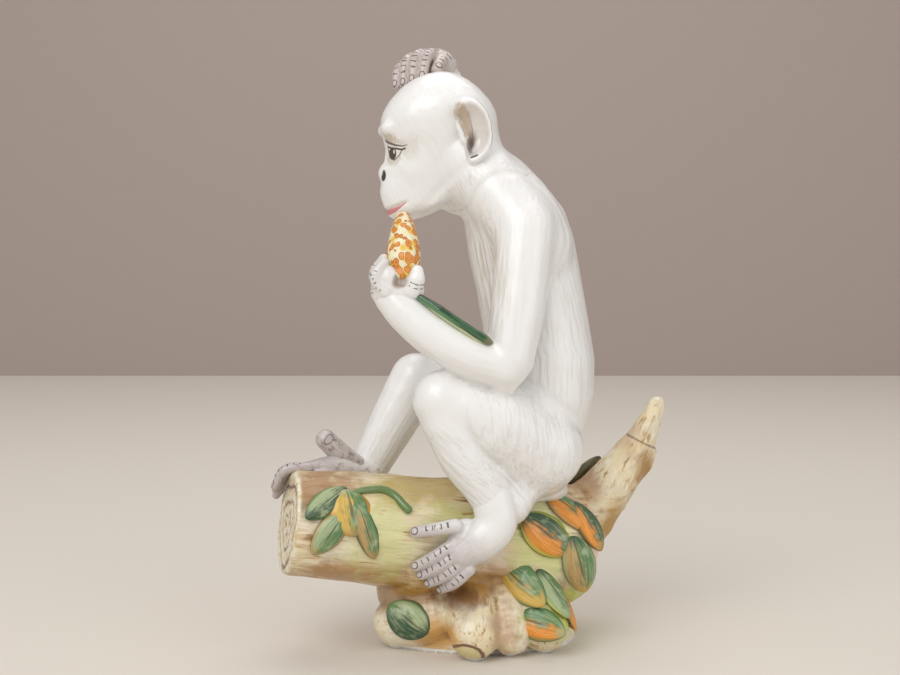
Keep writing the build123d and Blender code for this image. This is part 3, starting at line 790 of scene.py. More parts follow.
def digits(name, palm, table, grain, rounds=3):
    """A hand or foot: the palm's forms run together with its digits, kept apart where they are apart."""
    forms = list(palm)
    for stations, outward in table:
        forms += tube(stations, across=6, along=8)
    skin = fuse(forms, name + "_skin", grain, rounds)
    places = places_of(skin)
    local, index, clear = follow(places, table)
    angle = np.arctan2(local[:, 1], local[:, 0])
    lengths = [
        sum(np.linalg.norm(np.subtract(b[:3], a[:3])) for a, b in zip(stations, stations[1:]))
        for stations, outward in table
    ]
    left_over = np.array(lengths)[index] - local[:, 2]
    store(skin, "digit", np.stack([local[:, 2], angle, left_over], axis=1))
    folds = ease(hollows(skin, 14), 0.10, 0.5)
    store(skin, "fold", np.stack([folds, folds, folds], axis=1))
    return skin


def hand_glaze(
    name,
    start,
    end,
    wash_colour,
    strength,
    dashes=0.9,
    dash_step=3.6,
    dash_reach=0.48,
    broken=False,
    nails=0.9,
    mottle=0.0,
    shadow=None,
):
    """White at the wrist, running to a lilac grey wash at the digits, with dark brush dashes, nails, painted
    shade in the folds and any painted shadow.
    """
    paint = Paint(name)
    here = paint.place()
    axis = np.subtract(end, start)
    length = float(np.linalg.norm(axis))
    reach = paint.dot(here, tuple(axis / length)) - float(np.dot(start, axis / length))
    blot = paint.noise(here, 0.12, 2.0) * 10 - 5
    hatch = paint.noise(paint.stretch(paint.stored("digit"), 0.1, 4.0, 0.1), 1.0, 2.0)
    wash = paint.ramp(reach + blot + hatch * 6 - 3, 0.0, length)
    digit = paint.parts(paint.stored("digit"))
    wave = paint.maths("FRACT", digit[0] / dash_step + paint.noise(here, 0.35, 1.0) * 0.7)
    dash = paint.ramp(paint.size(wave - 0.5), 0.13, 0.07)
    dash = dash * paint.ramp(paint.size(digit[1] + blot * 0.05), dash_reach, dash_reach - 0.14)
    dash = dash * paint.ramp(digit[0], 1.0, 2.0) * paint.ramp(digit[2], 4.5, 5.5) * dashes
    if broken:
        dash = dash * paint.ramp(paint.noise(here, 0.42, 1.0), 0.49, 0.53)
    nail = paint.oval(digit[2], digit[1], (0.2, 0.0), (2.0, 0.62))
    rim = paint.ramp(paint.size(nail - 1.0), 0.24, 0.10) * nails
    folds = paint.parts(paint.stored("fold"))[0]
    colour = paint.mix(wash * strength, WHITE, wash_colour)
    colour = paint.mix(paint.ramp(hatch, 0.5, 0.3) * wash * 0.3, colour, (0.36, 0.27, 0.24))
    blotch = paint.ramp(paint.noise(here, 0.22, 4.0, 0.65), 0.50, 0.66)
    colour = paint.mix(blotch * mottle, colour, (0.20, 0.12, 0.10))
    # Painted shade: dark brown in the folds between the digits
    colour = paint.mix(folds * 0.9, colour, (0.10, 0.05, 0.03))
    if shadow:
        gap = paint.node("ShaderNodeVectorMath", {"operation": "DISTANCE"}, {0: here, 1: shadow}, 1)
        colour = paint.mix(paint.ramp(gap + blot * 0.5, 5.6, 2.4) * 0.8, colour, (0.20, 0.11, 0.05))
    colour = paint.mix(paint.most(dash, rim), colour, (0.05, 0.035, 0.03))
    return paint.glaze(colour, hatch * 0.6 - dash, 0.35, 0.38, 0.45, 0.18)


left_hand = digits(
    "left_hand",
    [
        *tube([(-42, -43, 196, 9.0), (-49.5, -42, 202, 9.2)]),
        *tube([(-50.2, -41.9, 201.9, 8.8), (-38.2, -42.9, 202.9, 8.4)]),
        ball((-49.6, -43, 204.5), (9.0, 10.2, 9.5)),
        ball((-51.6, -42, 210.5), (5.4, 10, 9.0), (0, -12, 0)),
        ball((-48.5, -47.0, 207.5), (6.2, 6.2, 8.5), (0, -10, 0)),
        ball((-38.5, -47, 204.0), (7.5, 6.2, 6.5)),
        ball((-44.0, -45.5, 201.5), (9.5, 6.4, 6.5)),
    ],
    LEFT_FINGERS,
    HAND_GRAIN,
    14,
)
finish(
    left_hand,
    hand_glaze(
        "left_hand_glaze",
        (-44, -43, 198),
        (-62, -43, 214),
        (0.48, 0.42, 0.40),
        0.45,
        dash_step=2.3,
        dash_reach=1.1,
        broken=True,
        nails=0.0,
        shadow=(-42.0, -52.5, 207.0),
    ),
    "hand_glaze",
    "left_hand",
    "left_fingers",
    "left_thumb",
)
right_hand = digits(
    "right_hand",
    [
        *tube([(-17.5, 38, 321, 9.2), (-22.6, 27.1, 330.3, 9.4)]),
        *tube([(-22.6, 27.1, 330.3, 9.4), (-30, 20.1, 331.8, 8.2)]),
        ball((-25, 20, 331), (13, 11, 9.0)),
    ],
    RIGHT_FINGERS,
    HAND_GRAIN,
)
finish(
    right_hand,
    hand_glaze("right_hand_glaze", (-17.5, 38, 321), (-32, 18, 332), (0.50, 0.42, 0.39), 0.9, mottle=0.2),
    "hand_glaze",
    "right_hand",
    "right_fingers",
    "right_thumb",
)
left_foot = digits(
    "left_foot",
    [
        *tube(
            [
                (4.5, -40.4, 94, 11.4),
                (8.0, -40.8, 85, 11.9),
                (9.0, -41.6, 76, 11.8),
                (1, -42.9, 66, 11.5),
                (-8.8, -42.9, 59.2, 9.4),
            ]
        ),
        ball((-7, -42.5, 64), (11, 7, 14)),
    ],
    LEFT_TOES,
    FOOT_GRAIN,
)
finish(
    left_foot,
    hand_glaze("left_foot_glaze", (6, -42, 78), (-18, -44, 55), (0.54, 0.485, 0.475), 0.85),
    "hand_glaze",
    "left_foot",
    "left_toes",
    "left_big_toe",
)
right_foot = digits(
    "right_foot",
    [
        *tube([(-60.5, 17.6, 106, 9.0), (-64, 14.5, 96, 11.4), (-80, 1, 96.5, 10), (-97, -12, 95, 9)]),
        ball((-92, -10, 96), (12, 13, 7), (0, 0, 30)),
    ],
    RIGHT_TOES,
    FOOT_GRAIN,
)
finish(
    right_foot,
    hand_glaze("right_foot_glaze", (-64, 15, 100), (-92, -10, 98), (0.44, 0.37, 0.36), 0.85, mottle=0.5),
    "hand_glaze",
    "right_foot",
    "right_toes",
)
right_big_toe = digits("right_big_toe", [], [(RIGHT_BIG_TOE, (0, -1, 0.6))], HAND_GRAIN)
finish(
    right_big_toe,
    hand_glaze(
        "right_big_toe_glaze",
        (-50, 4, 80),
        (-66, 3, 96),
        (0.48, 0.42, 0.40),
        0.85,
        dashes=0.0,
        nails=0.6,
        mottle=0.65,
    ),
    "hand_glaze",
    "right_big_toe",
)


# Log, branch and root foot
LOG_FRONT = np.array((-106.12, -30.63, 73.04))
LOG_REAR = np.array((63.40, 18.30, 49.50))
LOG_AXIS = (LOG_REAR - LOG_FRONT) / np.linalg.norm(LOG_REAR - LOG_FRONT)
RING_SPACING = 9.0
MOUND_FOOT, MOUND_TOP, MOUND_HEIGHT, MOUND_FLATNESS = 56.5, 45, 46, 0.62
BRANCH = [
    (52, 12, 58, 21),
    (76, 18.5, 83, 15.2),
    (93, 22.5, 104.5, 10.4),
    (99.5, 25, 117, 8.0),
    (106.2, 28, 131.5, 5.0),
]
ROOTS = {
    "root_left": [(-25.7, -19.8, 17.5, 16), (-36, -19.4, 15.5, 16.6), (-45.6, -19, 13.6, 13.8)],
    "root_front": [(-3.4, -22.8, 25.3, 16), (-2.8, -33, 19, 16), (-2.3, -42.2, 13.5, 13.8)],
    "root_ribbed": [(13.7, -22.8, 27.6, 12), (15.5, -29, 20, 12.6), (17.1, -35, 12, 12)],
    "root_right": [(29.6, -16, 33.1, 17), (33, -21.5, 23, 17), (36.5, -27.4, 13.6, 14)],
    "root_back_left": [(-19.4, 17.1, 23, 15), (-23, 22, 18, 16.5), (-26.2, 27.4, 13.6, 14)],
    "root_back_right": [(28.5, 17.1, 29.9, 16), (32, 23.5, 21, 17.3), (35.3, 30.4, 13.8, 15)],
}


def on_log(millimetres, radius):
    return (*(LOG_FRONT + LOG_AXIS * millimetres), radius)


LOG_SPAN = [on_log(0, 28.5), on_log(178, 37.5)]


def log_skin():
    stations = [
        on_log(0, 28.2),
        on_log(30, 30.2),
        on_log(90, 33.0),
        on_log(150, 36.0),
        on_log(166, 35.0),
        on_log(174, 30.0),
        on_log(177.5, 22.0),
    ]
    forms = tube(stations, closed_ends=False, across=16)
    bpy.ops.mesh.primitive_cone_add(
        vertices=80,
        radius1=MOUND_FOOT * MM,
        radius2=MOUND_TOP * MM,
        depth=MOUND_HEIGHT * MM,
        location=(0, 0, MOUND_HEIGHT / 2 * MM),
    )
    mound = bpy.context.object
    mound.scale = (1, MOUND_FLATNESS, 1)
    bpy.ops.object.transform_apply(location=True, rotation=True, scale=True)
    forms.append(mound)
    forms += tube(BRANCH)
    forms += tube([(-34, -9, 46, 24), (-42, -9, 30, 16)])
    forms += tube([(92, 20, 88, 3.6), (99, 22.5, 97, 4.4), (103.5, 24, 105, 2.6)])
    for root in ROOTS.values():
        forms += tube(root)
    skin = fuse(forms, "log_skin", LOG_GRAIN, 7)
    places = places_of(skin)
    limbs = [
        (LOG_SPAN, (0, -1, 0)),
        (BRANCH, (0, -1, 0)),
        *[(root, (0, -1, 0)) for root in ROOTS.values()],
    ]
    local, index, clear = follow(places, limbs)
    amount = ease(clear, 0, 5)
    bark = lumps(local, (0.10, 0.10, 0.025), 1) * 1.5 + lumps(local, (0.28, 0.28, 0.06), 2) * 0.7
    swell = lumps(places, 0.07, 3) * 0.9 + bark * amount * np.where(index < 2, 0.9, 0.3)
    ribs = np.sin(local[:, 2] * 1.1 + lumps(places, 0.1, 4)) * 0.3
    swell += np.where(index == 4, ribs * amount, 0)
    away = np.linalg.norm(local[:, :2], axis=1)
    cut_end = (index == 0) * ease(local[:, 2], 3.0, 0.8)
    turn = np.arctan2(local[:, 1], local[:, 0])
    rings = away + 2.4 * np.sin(turn * 3 + 0.7) + 0.8 * np.sin(turn * 7) + 2.6 * lumps(places, 0.09, 5)
    groove = np.exp(-((((rings / RING_SPACING) % 1 - 0.5) / 0.11) ** 2)) * ease(away, 27, 25)
    swell = swell * (1 - cut_end) - 1.1 * groove * cut_end
    swell[places[:, 2] < 2] = 0
    push(skin, swell)
    places = places_of(skin)
    places[:, 2] = np.where(places[:, 2] < 0.9, 0, places[:, 2])
    move_to(skin, places)
    # How deep each place lies in a fold, for the dark brown there
    folds = hollows(skin, 40)
    local[:, 2] += index * LIMB_SHIFT
    store(skin, "flow", local)
    store(skin, "bark", np.stack([ease(folds, 0.18, 1.0), groove * cut_end, cut_end], axis=1))
    store(skin, "clear", np.stack([ease(clear, 0, 7)] * 3, axis=1))
    return skin


# Washes on the log, two of them painted shade: x and z of the middle, half lengths, colour and strength
BARK_WASHES_AND_SHADE = [
    # Painted shade: brown on the log's top edge beside the far foot
    ((-86, 94), (26, 11), (0.34, 0.17, 0.05), 0.9),
    ((-66, 47), (44, 9), (0.40, 0.20, 0.05), 0.9),
    ((-52, 68), (18, 26), (0.62, 0.62, 0.26), 0.75),
    ((-26, 93), (38, 10), (0.46, 0.32, 0.07), 0.75),
    ((-10, 76), (22, 8), (0.56, 0.54, 0.18), 0.7),
    ((10, 52), (14, 16), (0.70, 0.52, 0.40), 0.55),
    ((24, 66), (8, 26), (0.60, 0.62, 0.20), 0.6),
    ((2, 40), (20, 9), (0.42, 0.24, 0.11), 0.6),
    ((40, 60), (14, 22), (0.62, 0.64, 0.20), 0.75),
    ((60, 92), (9, 8), (0.60, 0.38, 0.28), 0.6),
    ((50, 22), (22, 14), (0.54, 0.60, 0.10), 0.9),
    ((-22, 10), (12, 11), (0.60, 0.30, 0.04), 0.85),
    # Painted shade: dark brown low down on the log
    ((-44, 30), (24, 8), (0.34, 0.17, 0.06), 0.75),
    ((-16, 38), (36, 7), (0.46, 0.24, 0.04), 0.85),
    ((-12, 31), (14, 6), (0.16, 0.07, 0.03), 0.75),
    ((12, 16), (8, 15), (0.46, 0.26, 0.13), 0.7),
    ((62, 84), (12, 10), (0.40, 0.21, 0.08), 0.7),
    ((80, 64), (10, 18), (0.42, 0.23, 0.04), 0.95),
    ((99, 88), (8, 20), (0.38, 0.19, 0.03), 0.95),
    ((90, 112), (8, 12), (0.50, 0.30, 0.14), 0.5),
]


def bark_glaze():
    paint = Paint("bark_glaze")
    here = paint.place()
    x, y, z = paint.parts(here)
    flow = paint.stored("flow")
    folds, groove, cut_end = paint.parts(paint.stored("bark"))
    streak = paint.noise(paint.stretch(flow, 0.30, 0.30, 0.045), 1.0, 4.0, 0.6, 0.6)
    patch = paint.noise(here, 0.07, 4.0, 0.6, 0.5)
    clear = paint.parts(paint.stored("clear"))[0]
    streak = streak * clear + patch * (1.0 - clear)
    cream = paint.mix(paint.ramp(patch, 0.40, 0.62), (0.82, 0.76, 0.60), (0.78, 0.66, 0.42))
    colour = paint.mix(paint.ramp(streak, 0.50, 0.66) * 0.6, cream, (0.58, 0.36, 0.14))
    for centre, half, wash_colour, strength in BARK_WASHES_AND_SHADE:
        gone = paint.oval(x, z, centre, half) + (patch - 0.5) * 2.6 + (streak - 0.5) * 1.2
        colour = paint.mix(paint.ramp(gone, 1.4, 0.35) * strength, colour, wash_colour)
    deep = paint.ramp(streak, 0.57, 0.68) * paint.ramp(patch, 0.45, 0.56)
    colour = paint.mix(deep * 0.75, colour, (0.24, 0.10, 0.03))
    # Dark brown in the bark's folds: the glaze's brown in the grooves and painted shade
    colour = paint.mix(folds * 0.9, colour, (0.18, 0.08, 0.03))
    end_paint = paint.mix(paint.ramp(streak, 0.45, 0.6), (0.82, 0.77, 0.62), (0.66, 0.50, 0.26))
    colour = paint.mix(cut_end, colour, end_paint)
    colour = paint.mix(groove, colour, (0.16, 0.075, 0.03))
    stub = paint.oval(x, z, (-7.0, 3.6), (9.0, 7.4)) + (streak - 0.5) * 0.2
    near = paint.ramp(y, -44, -47)
    colour = paint.mix(paint.ramp(stub, 1.0, 0.8) * near * 0.8, colour, (0.66, 0.56, 0.26))
    colour = paint.mix(paint.ramp(paint.size(stub - 1.0), 0.16, 0.07) * near, colour, (0.20, 0.10, 0.05))
    joint = paint.near_line(x, z, (89.0, 115.0), (106.0, 106.5)) + (streak - 0.5) * 1.6
    colour = paint.mix(paint.ramp(joint, 0.9, 0.4) * 0.7, colour, (0.20, 0.11, 0.06))
    rim = paint.ramp(z + (streak - 0.5) * 1.5, 2.4, 1.8)
    colour = paint.mix(rim, colour, (0.82, 0.80, 0.76))
    grain = paint.noise(paint.stretch(flow, 0.5, 0.5, 0.08), 1.0, 3.0, 0.6, 0.5)
    return paint.glaze(colour, grain * clear, 0.9, 0.42, 0.3, 0.12)


finish(
    log_skin(),
    bark_glaze(),
    "bark_glaze",
    "log_trunk",
    "log_end_disc",
    "branch_stub",
    "branch_tip",
    "bark_flap",
    "root_mound",
    *ROOTS,
)


# Leaves: what carries each, the share along it, then length and width in shares, turn and spin
CARRIERS = {
    "log": LOG_SPAN,
    "branch": [(59.4, 14.3, 65.5, 19), (96.4, 23.3, 110.5, 8.2)],
    **{name: [root[0], root[-1]] for name, root in ROOTS.items()},
}
LEAF_LENGTH, LEAF_WIDTH, LEAF_THICKNESS = 32.0, 17.0, 6.0
LEAVES = {
    "leaf_left_1": ("log", 0.088, 0.95, 0.85, 55, -140),
    "leaf_left_2": ("log", 0.160, 0.84, 1.40, 64, -78),
    "leaf_left_3": ("log", 0.099, 0.88, 0.90, 88, -122),
    "leaf_left_4": ("log", 0.213, 1.00, 0.72, 83, -66),
    "leaf_right_1": ("log", 0.785, 1.08, 1.35, 73, -31),
    "leaf_right_2": ("log", 0.870, 1.10, 0.95, 50, -40),
    "leaf_right_3": ("log", 0.925, 1.00, 0.85, 62, -60),
    "leaf_right_4": ("log", 0.905, 1.12, 1.15, 98, -66),
    "leaf_right_5": ("root_right", 0.02, 1.15, 1.15, 48, 25),
    "leaf_right_6": ("root_right", 0.45, 1.00, 0.95, -8, 20),
    "leaf_right_7": ("root_right", 1.05, 0.95, 1.10, 42, 50),
    "leaf_right_8": ("root_right", 0.75, 0.90, 0.75, -45, 20),
    "leaf_branch_1": ("branch", 0.42, 0.90, 0.80, -58, 12),
    "leaf_branch_2": ("branch", 0.28, 0.85, 0.75, -88, 20),
    "leaf_base": ("root_left", 0.62, 0.85, 1.25, -72, -45),
    "leaf_back_1": ("log", 0.83, 1.05, 1.20, -70, 35),
    "leaf_back_2": ("log", 0.90, 1.05, 1.00, -105, 60),
    "leaf_back_3": ("log", 0.75, 1.00, 1.05, -100, 110),
    "leaf_back_4": ("root_back_right", 0.60, 1.00, 1.10, -30, -20),
}


def surface_frame(carrier, share, turn):
    start, end = (np.array(station, float) for station in CARRIERS[carrier])
    axis = (end - start)[:3]
    length = np.linalg.norm(axis)
    axis = axis / length
    up = np.array((0, 0, 1.0)) - axis * axis[2]
    up = up / np.linalg.norm(up)
    side = np.cross(axis, up)
    angle = math.radians(turn)
    outward = up * math.cos(angle) + side * math.sin(angle)
    radius = start[3] + (end[3] - start[3]) * share
    place = start[:3] + axis * (length * share) + outward * radius
    return place, outward, axis, radius


def leaf(name):
    """A pointed blade, domed and creased along its midrib, bent over what carries it."""
    carrier, share, length_share, width_share, turn, spin = LEAVES[name]
    place, outward, axis, radius = surface_frame(carrier, share, turn)
    spin = math.radians(spin)
    heading = axis * math.cos(spin) + np.cross(outward, axis) * math.sin(spin)
    across = np.cross(outward, heading)
    round_way = np.cross(axis, outward)
    bpy.ops.mesh.primitive_grid_add(x_subdivisions=44, y_subdivisions=26, size=2)
    blade = bpy.context.object
    blade.name = name + "_blade"
    unit = places_of(blade) * MM
    u, v = (unit[:, 0] + 1) / 2, unit[:, 1]
    half_length, half_width = LEAF_LENGTH * length_share / 2, LEAF_WIDTH * width_share / 2
    outline = np.clip(np.sin(math.pi * u ** 0.92), 0, 1) ** 0.56
    outline = np.clip(outline, 0.02, 1)
    along = (u - 0.5) * 2 * half_length
    over = v * half_width * outline
    flat = heading * along[:, None] + across * over[:, None]
    bend = 0.85 if carrier == "log" else 0.5
    turned = (flat @ round_way) / radius * bend
    run = flat @ axis
    sweep = round_way * (np.sin(turned) / bend * radius)[:, None] - outward * (
        (1 - np.cos(turned)) / bend * radius
    )[:, None]
    facing = outward * np.cos(turned)[:, None] + round_way * np.sin(turned)[:, None]
    dome = (1 - np.abs(v) ** 2.6) * outline ** 0.6 * 3.0
    crease = 0.6 * np.exp(-((v / 0.12) ** 2)) * outline * ease(1 - u, 0.15, 0.5)
    folds = 0.28 * np.sin(v * 9 + 2.5 * u) * (1 - v ** 2) * outline
    height = 0.6 + dome - crease + folds + (3.0 if carrier == "branch" else 0)
    places = place + axis * run[:, None] + sweep + facing * height[:, None]
    move_to(blade, places)
    store(blade, "leaf", np.stack([u, v, outline], axis=1))
    apply_modifier(blade, "SOLIDIFY", thickness=LEAF_THICKNESS * MM, offset=-1)
    only(blade)
    bpy.ops.object.mode_set(mode="EDIT")
    bpy.ops.mesh.select_all(action="SELECT")
    bpy.ops.mesh.remove_doubles(threshold=0.00001)
    bpy.ops.mesh.normals_make_consistent(inside=False)
    bpy.ops.object.mode_set(mode="OBJECT")
    bpy.ops.object.shade_smooth()
    return blade


def leaf_glaze(name, low_side, high_side, edge, tip, heel):
    """Two halves of different colours under long brush strokes and painted sheen, with a dark outline, tip
    and heel.
    """
    paint = Paint(name)
    leaf_place = paint.stored("leaf")
    u, v, outline = paint.parts(leaf_place)
    long_stroke = paint.noise(paint.stretch(leaf_place, 1.6, 5.5, 1.0), 1.0, 3.0, 0.6, 0.5)
    fine_stroke = paint.noise(paint.stretch(leaf_place, 2.2, 16.0, 1.0), 1.0, 2.0, 0.6, 0.3)
    blot = paint.noise(paint.place(), 0.16, 2.0)
    side = paint.ramp(v + (long_stroke - 0.5) * 1.3 + (blot - 0.5) * 1.6, -0.3, 0.3)
    colour = paint.mix(side, low_side, high_side)
    # Grey-green patches toward the upper side: the leaf's paint and a painted sheen
    grey_green_and_sheen = paint.ramp(blot, 0.52, 0.66) * paint.ramp(v, -0.3, 0.2)
    colour = paint.mix(grey_green_and_sheen * 0.6, colour, (0.44, 0.50, 0.30))
    # Pale brush strokes along the blade, partly painted highlights
    colour = paint.mix(paint.ramp(fine_stroke, 0.52, 0.64) * 0.28, colour, (0.66, 0.62, 0.34))
    colour = paint.mix(paint.ramp(fine_stroke, 0.46, 0.36) * 0.35, colour, (0.05, 0.09, 0.03))
    colour = paint.mix(paint.ramp(u + (long_stroke - 0.5) * 0.5, 0.26, 0.06) * 0.9, colour, heel)
    colour = paint.mix(paint.ramp(u + (long_stroke - 0.5) * 0.5, 0.78, 0.98) * 0.8, colour, tip)
    rim = paint.ramp(paint.size(v), 0.74, 0.88)
    colour = paint.mix(rim * 0.75, colour, edge)
    colour = paint.mix(paint.ramp(paint.size(v), 0.93, 0.99) * 0.7, colour, (0.07, 0.06, 0.02))
    midrib = paint.ramp(paint.size(v + (long_stroke - 0.5) * 0.25), 0.075, 0.02) * paint.ramp(u, 0.75, 0.5)
    colour = paint.mix(midrib * 0.75, colour, (0.07, 0.07, 0.03))
    return paint.glaze(colour, fine_stroke, 0.25, 0.38, 0.4, 0.08)


DARK, GREEN, SAGE = (0.018, 0.075, 0.028), (0.10, 0.22, 0.08), (0.34, 0.42, 0.22)
ORANGE, GOLD, TAN, LIME = (0.76, 0.26, 0.012), (0.66, 0.42, 0.07), (0.46, 0.29, 0.10), (0.46, 0.52, 0.08)
# Colours of each leaf: its lower side, upper side, edge, tip and heel
LEAF_COLOURS = {
    "leaf_left_1": (SAGE, DARK, GREEN, DARK, DARK),
    "leaf_left_2": (GOLD, GREEN, ORANGE, TAN, SAGE),
    "leaf_left_3": (SAGE, GREEN, TAN, TAN, DARK),
    "leaf_left_4": (TAN, GREEN, DARK, TAN, SAGE),
    "leaf_right_1": (ORANGE, DARK, LIME, GREEN, DARK),
    "leaf_right_2": (ORANGE, GREEN, TAN, ORANGE, DARK),
    "leaf_right_3": (ORANGE, DARK, DARK, TAN, DARK),
    "leaf_right_4": (TAN, GREEN, SAGE, GOLD, DARK),
    "leaf_right_5": (GOLD, GREEN, GREEN, GOLD, DARK),
    "leaf_right_6": (SAGE, GREEN, LIME, SAGE, DARK),
    "leaf_right_7": (ORANGE, GREEN, GREEN, SAGE, DARK),
    "leaf_right_8": (ORANGE, GOLD, TAN, ORANGE, GREEN),
    "leaf_branch_1": (GOLD, ORANGE, DARK, TAN, GREEN),
    "leaf_branch_2": (GOLD, GREEN, DARK, TAN, GREEN),
    "leaf_base": (SAGE, DARK, DARK, GREEN, DARK),
}

for leaf_name in LEAVES:
    colours = LEAF_COLOURS.get(leaf_name, (ORANGE, GREEN, TAN, GOLD, DARK))
    finish(leaf(leaf_name), leaf_glaze(leaf_name + "_glaze", *colours), "leaf_glaze", leaf_name)


# Leaf stem, fruit and stalk
def stem():
    stations = []
    for share, turn, thickness in ((0.158, 44, 1.6), (0.213, 38, 2.1), (0.275, 38, 2.3), (0.338, 58, 2.5)):
        place, outward, axis, radius = surface_frame("log", share, turn)
        stations.append((*(place + outward * 1.2), thickness))
    return fuse(tube(stations), "leaf_stem_skin", TRIM_GRAIN, 2)


def fruit():
    stations = [
        (-41.2, -44.6, 210.8, 6.8),
        (-41.2, -41.6, 216.4, 9.6),
        (-41.2, -37.4, 223.5, 9.3),
        (-41.3, -33.0, 231.0, 7.9),
        (-41.5, -28.4, 237.5, 6.1),
        (-41.8, -25.5, 241.2, 4.2),
    ]
    return fuse(tube(stations), "fruit_skin", TRIM_GRAIN, 3)


def fruit_glaze():
    paint = Paint("fruit_glaze")
    here = paint.place()
    wander = paint.noise(here, 0.22, 3.0)
    gold = paint.spots(paint.stretch(here, 0.20, 0.20, 0.15), 1.0)
    spot = paint.spots(paint.stretch(here, 0.27, 0.27, 0.21), 1.0)
    blotch = spot + (wander - 0.5) * 0.75
    colour = paint.mix(paint.ramp(gold + wander * 0.5, 0.80, 0.50), (0.82, 0.76, 0.50), (0.78, 0.50, 0.06))
    colour = paint.mix(paint.ramp(blotch, 0.50, 0.45), colour, (0.46, 0.13, 0.01))
    colour = paint.mix(paint.ramp(blotch, 0.43, 0.34), colour, (0.70, 0.25, 0.02))
    colour = paint.mix(paint.ramp(blotch, 0.20, 0.05) * 0.6, colour, (0.48, 0.11, 0.01))
    x, y, z = paint.parts(here)
    # Painted shade: dark olive at the fruit's bottom, where it sits in the palm
    colour = paint.mix(paint.ramp(z + wander * 4, 213, 209) * 0.8, colour, (0.20, 0.16, 0.03))
    return paint.glaze(colour, spot, 0.8, 0.35, 0.45, 0.08)


def stalk():
    stations = [
        (-31.5, -50, 198.4, 2.0),
        (-21.3, -52.4, 191.6, 2.9),
        (-10.7, -55, 184.4, 2.9),
        (-1.2, -57.4, 178.6, 2.8),
        (4.0, -58.5, 175.8, 2.2),
    ]
    tip = ball((0.5, -56.6, 177.2), (8.0, 1.8, 3.4), (0, 33, 0))
    return fuse([*tube(stations), tip], "fruit_stalk_skin", TRIM_GRAIN, 2)


def stalk_glaze():
    """A dark green stalk with a lighter strip under it and a pale lower edge."""
    paint = Paint("stalk_glaze")
    x, y, z = paint.parts(paint.place())
    across = (x + 31.5) * 0.537 + (z - 198.4) * 0.844
    along = (x + 31.5) * 0.844 - (z - 198.4) * 0.537
    streak = paint.noise(paint.vector(along * 0.06, across * 0.9, y * 0.3), 1.0, 2.0)
    colour = paint.mix(paint.ramp(streak, 0.42, 0.62), (0.006, 0.040, 0.012), (0.025, 0.11, 0.035))
    strip = paint.ramp(across + (streak - 0.5) * 1.6, 0.2, -0.8) * paint.ramp(along, 34, 12)
    colour = paint.mix(strip * 0.85, colour, (0.09, 0.24, 0.09))
    colour = paint.mix(paint.ramp(across + (streak - 0.5), -1.9, -2.5), colour, (0.50, 0.55, 0.28))
    colour = paint.mix(paint.ramp(along, 39, 42) * 0.8, colour, (0.16, 0.15, 0.05))
    return paint.glaze(colour, streak, 0.3)


finish(stem(), plain("stem_glaze", (0.12, 0.20, 0.055)), "leaf_glaze", "leaf_stem")
finish(fruit(), fruit_glaze(), "fruit_glaze", "fruit")
finish(stalk(), stalk_glaze(), "stalk_glaze", "fruit_stalk")


# Ears: the contour's distance from the ear's middle at each angle from the front, up being 90 degrees
EAR_MIDDLE = (-13.5, -6.0)
EAR_CONTOUR = [
    (-77, 14.5),
    (-60, 8.5),
    (-9, 7.5),
    (33, 10.5),
    (45, 15.5),
    (59, 18.3),
    (70, 19.1),
    (80, 19.3),
    (95, 17.6),
    (113, 15.0),
    (141, 11.9),
    (175, 10.6),
    (207, 12.3),
    (225, 14.0),
    (243, 15.6),
    (259, 17.5),
    (270, 19.2),
    (276, 18.6),
    (283, 14.5),
]


